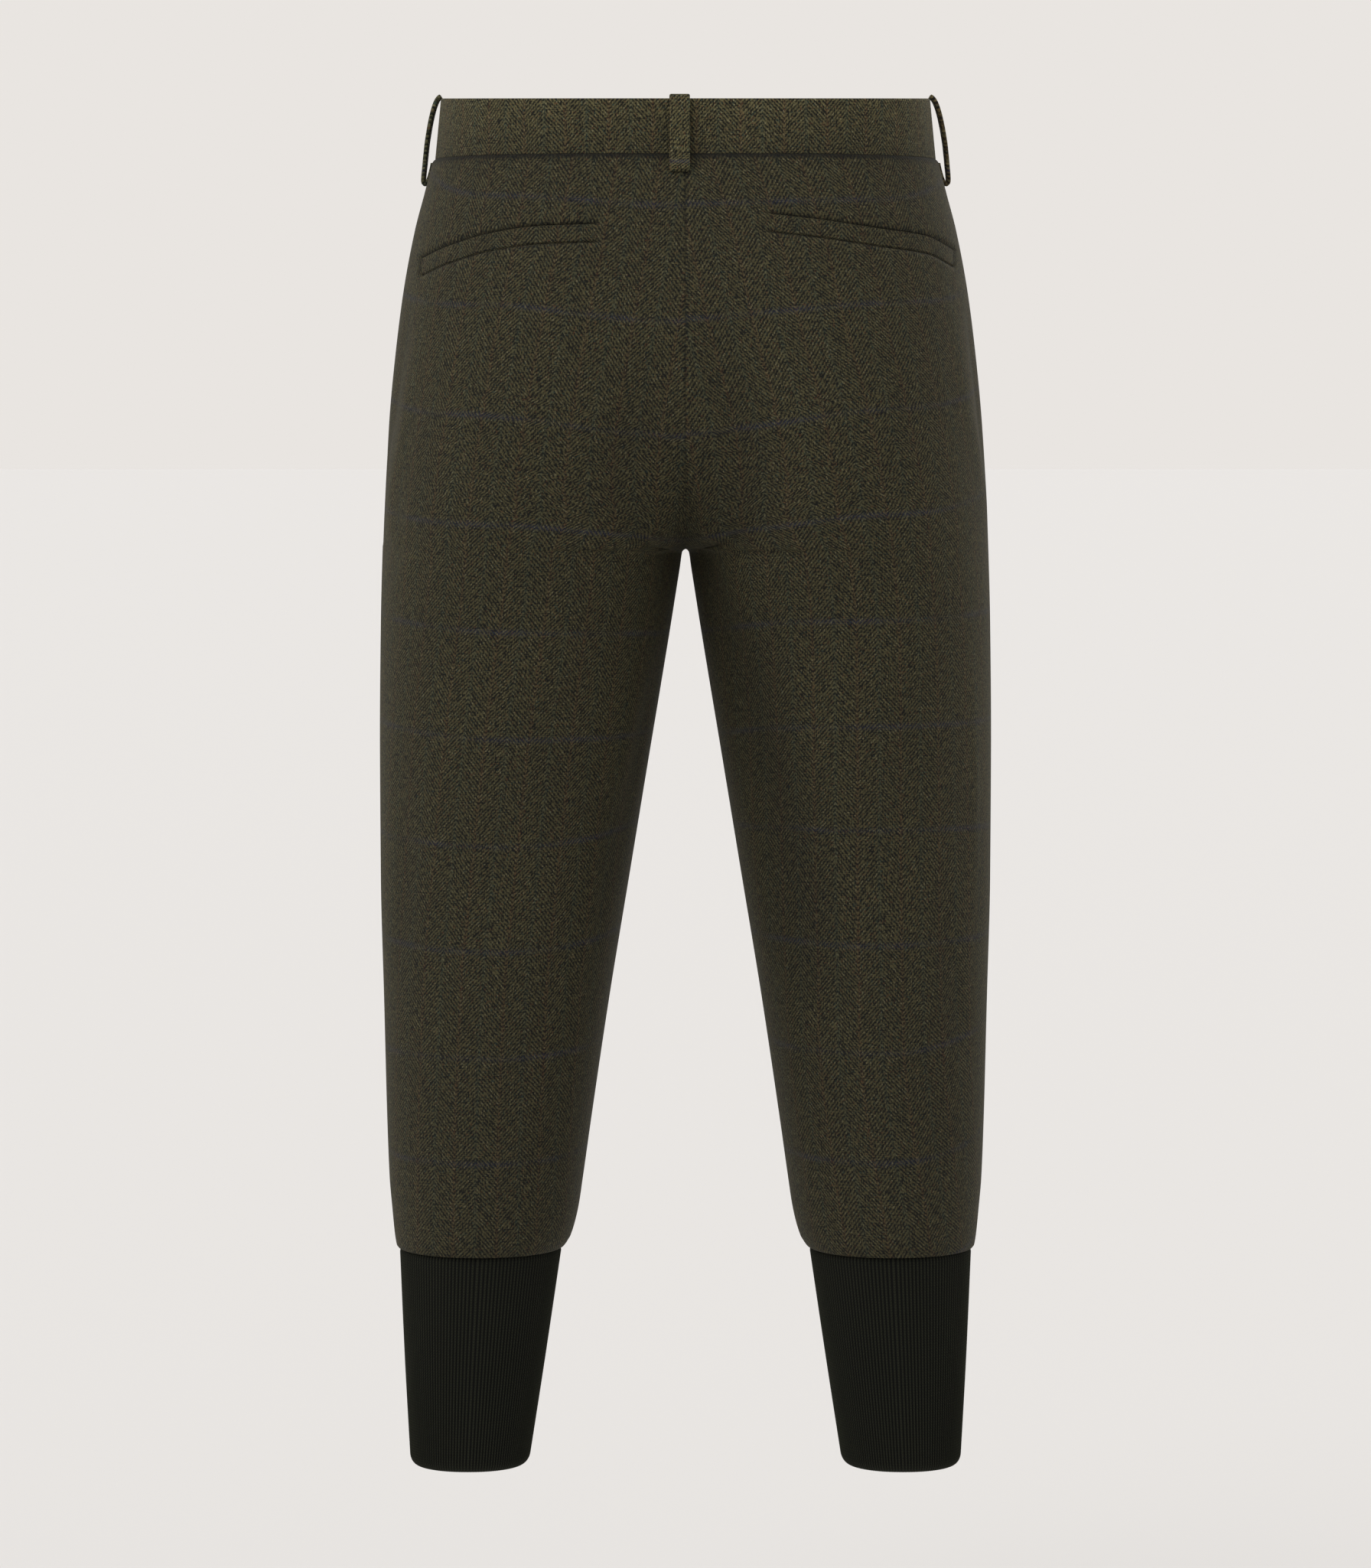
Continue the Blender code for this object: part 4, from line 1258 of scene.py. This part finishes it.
def tweed(name, lift=1.0):
    shader = Shader(name)
    u, v = shader.weave()
    wander = shader.noise(u * 55.0, v * 38.0, 2.0, 3.0) - 0.5
    wobble = shader.noise(u * 420.0, v * 420.0, 1.0, 7.0) - 0.5
    to_v = (u + wander * 0.0012).to_peak(2 * HALF_STRIPE)
    twill = v + wander * 0.0022 + wobble * 0.0005 - to_v * SLANT
    line = twill.wave(TWILL_RISE)
    warp_tone = shader.noise(u / YARN, v * 190.0, 0.0, 1.0)
    weft_tone = shader.noise(u * 170.0, v / YARN, 0.0, 2.0)
    grain = shader.noise(u * 1150.0, v * 820.0, 2.0, 5.0)
    broad = shader.noise(u * 16.0, v * 11.0, 3.0, 9.0)
    mixed = (line - 0.5) * 0.72 + (grain - 0.5) * 2.30 + (warp_tone - 0.5) * 1.30
    mixed = mixed + (weft_tone - 0.5) * 1.00 + wobble * 1.10 + 0.39
    colour = shader.mix(mixed, rgb(9, 9, 4), rgb(82, 77, 50))
    fleck = shader.speckle(u / 0.00060, v / 0.0009, 1.0)
    colour = shader.mix(fleck.above(0.945, 0.950) * line * 0.60, colour, rgb(122, 117, 90))
    colour = shader.mix(fleck.above(0.030, 0.026) * 0.35, colour, rgb(98, 62, 38))
    other = shader.speckle(u / 0.0006, v / 0.0009, 4.0)
    colour = shader.mix(other.above(0.965, 0.970) * 0.35, colour, rgb(48, 72, 66))
    gone = shader.noise(u * 30.0, v * 70.0, 2.0, 21.0).above(0.36, 0.62)
    broken = line * 0.5 + grain.above(0.38, 0.62) * 0.5
    rust = to_v.bell(0.0010) * broken * 0.22
    colour = shader.mix(rust, colour, rgb(100, 62, 40))
    teal = (HALF_STRIPE - to_v).bell(0.0012) * broken * 0.24
    colour = shader.mix(teal, colour, rgb(50, 72, 62))
    sunk = (1 - line) * 0.55 + grain.above(0.40, 0.62) * 0.45
    to_check = (v - CHECK_START).to_peak(CHECK_HEIGHT)
    navy = to_check.bell(0.0018) * sunk * 0.55 * (0.25 + gone * 0.75)
    colour = shader.mix(navy, colour, rgb(40, 45, 72))
    # shade: a broad random tone, times the lift, times the painted shade; a lift above 1 is painted
    # light
    shade = (0.53 + broad * 0.22) * lift * (1 - shader.tone() * 0.86)
    grey = shader.add("ShaderNodeCombineXYZ", {}, {0: shade, 1: shade, 2: shade})
    colour = shader.mix(1.0, colour, shader.value(grey), "MULTIPLY")
    shader.feed(shader.surface.inputs["Base Color"], colour)
    shader.surface.inputs["Roughness"].default_value = 0.88
    shader.surface.inputs["Specular IOR Level"].default_value = 0.25
    shader.surface.inputs["Sheen Weight"].default_value = 0.05
    shader.surface.inputs["Sheen Roughness"].default_value = 0.45
    shader.surface.inputs["Sheen Tint"].default_value = rgb(150, 142, 100)
    shader.bump(line * 0.6 + grain * 0.4, 0.00030, 0.8)
    return shader.material


TWEED_MATERIAL = tweed("tweed_herringbone")
# a lit copy of the tweed for the band and loops: painted light makes it 1.66 times lighter
BAND_LIT_MATERIAL = tweed("tweed_band", lift=1.66)
for piece in list(PANELS.values()) + WELT_PIECES:
    piece.data.materials.append(TWEED_MATERIAL)
for piece in BANDS + LOOP_PIECES:
    piece.data.materials.append(BAND_LIT_MATERIAL)

# %% [markdown]
# ## Rib knit, tape and horn
# The knit is a near-black green wool. On each rib a column of V-shaped stitches shows, drawn from
# the rib's own coordinate, and the sunk columns are painted almost black, as painted shade. The tape
# is a plain narrow twill and the button is streaked brown horn, the only piece with a shine.

# %% The other materials


def knit():
    shader = Shader("rib_knit")
    u, v = shader.weave()
    place = u.fraction() - 0.5
    stitch = 0.0016
    slope = place.maths("ABSOLUTE", place) * 0.0022
    vee = (v + slope).wave(stitch)
    fuzz = shader.noise(u * 3.0, v * 1400.0, 2.0, 2.0)
    broad = shader.noise(u * 0.12, v * 20.0, 2.0, 4.0)
    # the sunk columns between the ribs are painted almost black, as painted shade
    height = shader.tone()
    raised = (1 - height).above(0.10, 0.90)
    colour = shader.mix(raised * (0.45 + vee * 0.55), rgb(1, 2, 0), rgb(34, 36, 24))
    shade = (0.20 + fuzz * 1.40) * (0.66 + broad * 0.28)
    grey = shader.add("ShaderNodeCombineXYZ", {}, {0: shade, 1: shade, 2: shade})
    colour = shader.mix(1.0, colour, shader.value(grey), "MULTIPLY")
    shader.feed(shader.surface.inputs["Base Color"], colour)
    shader.surface.inputs["Roughness"].default_value = 0.92
    shader.surface.inputs["Specular IOR Level"].default_value = 0.2
    shader.surface.inputs["Sheen Weight"].default_value = 0.04
    shader.surface.inputs["Sheen Tint"].default_value = rgb(120, 122, 100)
    shader.bump(vee * 0.7 + fuzz * 0.3, 0.00025, 0.8)
    return shader.material


def tape():
    shader = Shader("zip_tape")
    u, v = shader.weave()
    line = (u + v).wave(0.0009)
    colour = shader.mix(line, rgb(26, 25, 20), rgb(50, 48, 40))
    shader.feed(shader.surface.inputs["Base Color"], colour)
    shader.surface.inputs["Roughness"].default_value = 0.75
    shader.bump(line, 0.00015, 0.6)
    return shader.material


def horn():
    shader = Shader("horn")
    place = shader.add("ShaderNodeTexCoord", {}, {})
    split = shader.add("ShaderNodeSeparateXYZ", {}, {0: shader.value(place, "Object")})
    x = shader.value(split, 0)
    z = shader.value(split, 2)
    streak = shader.noise(x * 900.0 + z * 250.0, z * 160.0, 3.0, 1.0)
    colour = shader.mix(streak.above(0.3, 0.7), rgb(42, 27, 17), rgb(96, 66, 40))
    shader.feed(shader.surface.inputs["Base Color"], colour)
    shader.feed(shader.surface.inputs["Roughness"], 0.28 + streak * 0.16)
    shader.bump(streak, 0.00005, 0.4)
    return shader.material


KNIT = knit()
TAPE = tape()
for piece in CUFF_PIECES:
    piece.data.materials.append(KNIT)
ZIP.data.materials.append(TAPE)
THREAD.data.materials.append(TAPE)
BUTTON.data.materials.append(horn())

# %% [markdown]
# ## Studio
# The photo is a cut-out on a warm pale ground in soft frontal light, a little brighter from above
# and from the left. A pale sky all round gives most of the light. Three very wide, soft suns shape
# the cloth: far lights fall evenly, so the pale floor has the sky's own tone up to the horizon.

# %% Floor, lights and camera


def plain_material(name, colour, roughness=0.9):
    shader = Shader(name)
    shader.surface.inputs["Base Color"].default_value = colour
    shader.surface.inputs["Roughness"].default_value = roughness
    return shader.material


FLOOR_Z = -1.05
bm = bmesh.new()
bmesh.ops.create_grid(bm, x_segments=1, y_segments=1, size=60)
for vert in bm.verts:
    vert.co.z = FLOOR_Z
floor = make_object("floor", bm)
floor.data.materials.append(plain_material("floor", (0.60, 0.595, 0.59, 1.0), 1.0))


def aim(thing, place, target):
    thing.location = place
    way = Vector(target) - Vector(place)
    thing.rotation_euler = way.to_track_quat("-Z", "Y").to_euler()


def soft_sun(name, place, power):
    """A far, wide light that shines from a place towards the garment's middle."""
    data = bpy.data.lights.new(name, "SUN")
    data.energy = power
    data.angle = radians(50)
    lamp = bpy.data.objects.new(name, data)
    bpy.context.scene.collection.objects.link(lamp)
    aim(lamp, place, (0.0, 0.0, -0.4))


soft_sun("key", (2.2, 2.2, 2.9), 1.42)
soft_sun("fill", (-2.6, 1.6, 1.2), 0.24)
soft_sun("front", (-0.6, -2.4, 1.4), 0.75)

world = bpy.data.worlds.new("studio")
bpy.context.scene.world = world
world.use_nodes = True
ground = world.node_tree.nodes["Background"]
ground.inputs["Color"].default_value = rgb(233, 229, 225)
bpy.context.scene.view_settings.view_transform = "Standard"

camera_data = bpy.data.cameras.new("photo")
camera_data.lens = 140.98
camera_data.sensor_width = 36
camera = bpy.data.objects.new("photo", camera_data)
bpy.context.scene.collection.objects.link(camera)
aim(camera, (0.0, 3.7, -0.149), (0.0, 0.0, -0.3913))
bpy.context.scene.camera = camera
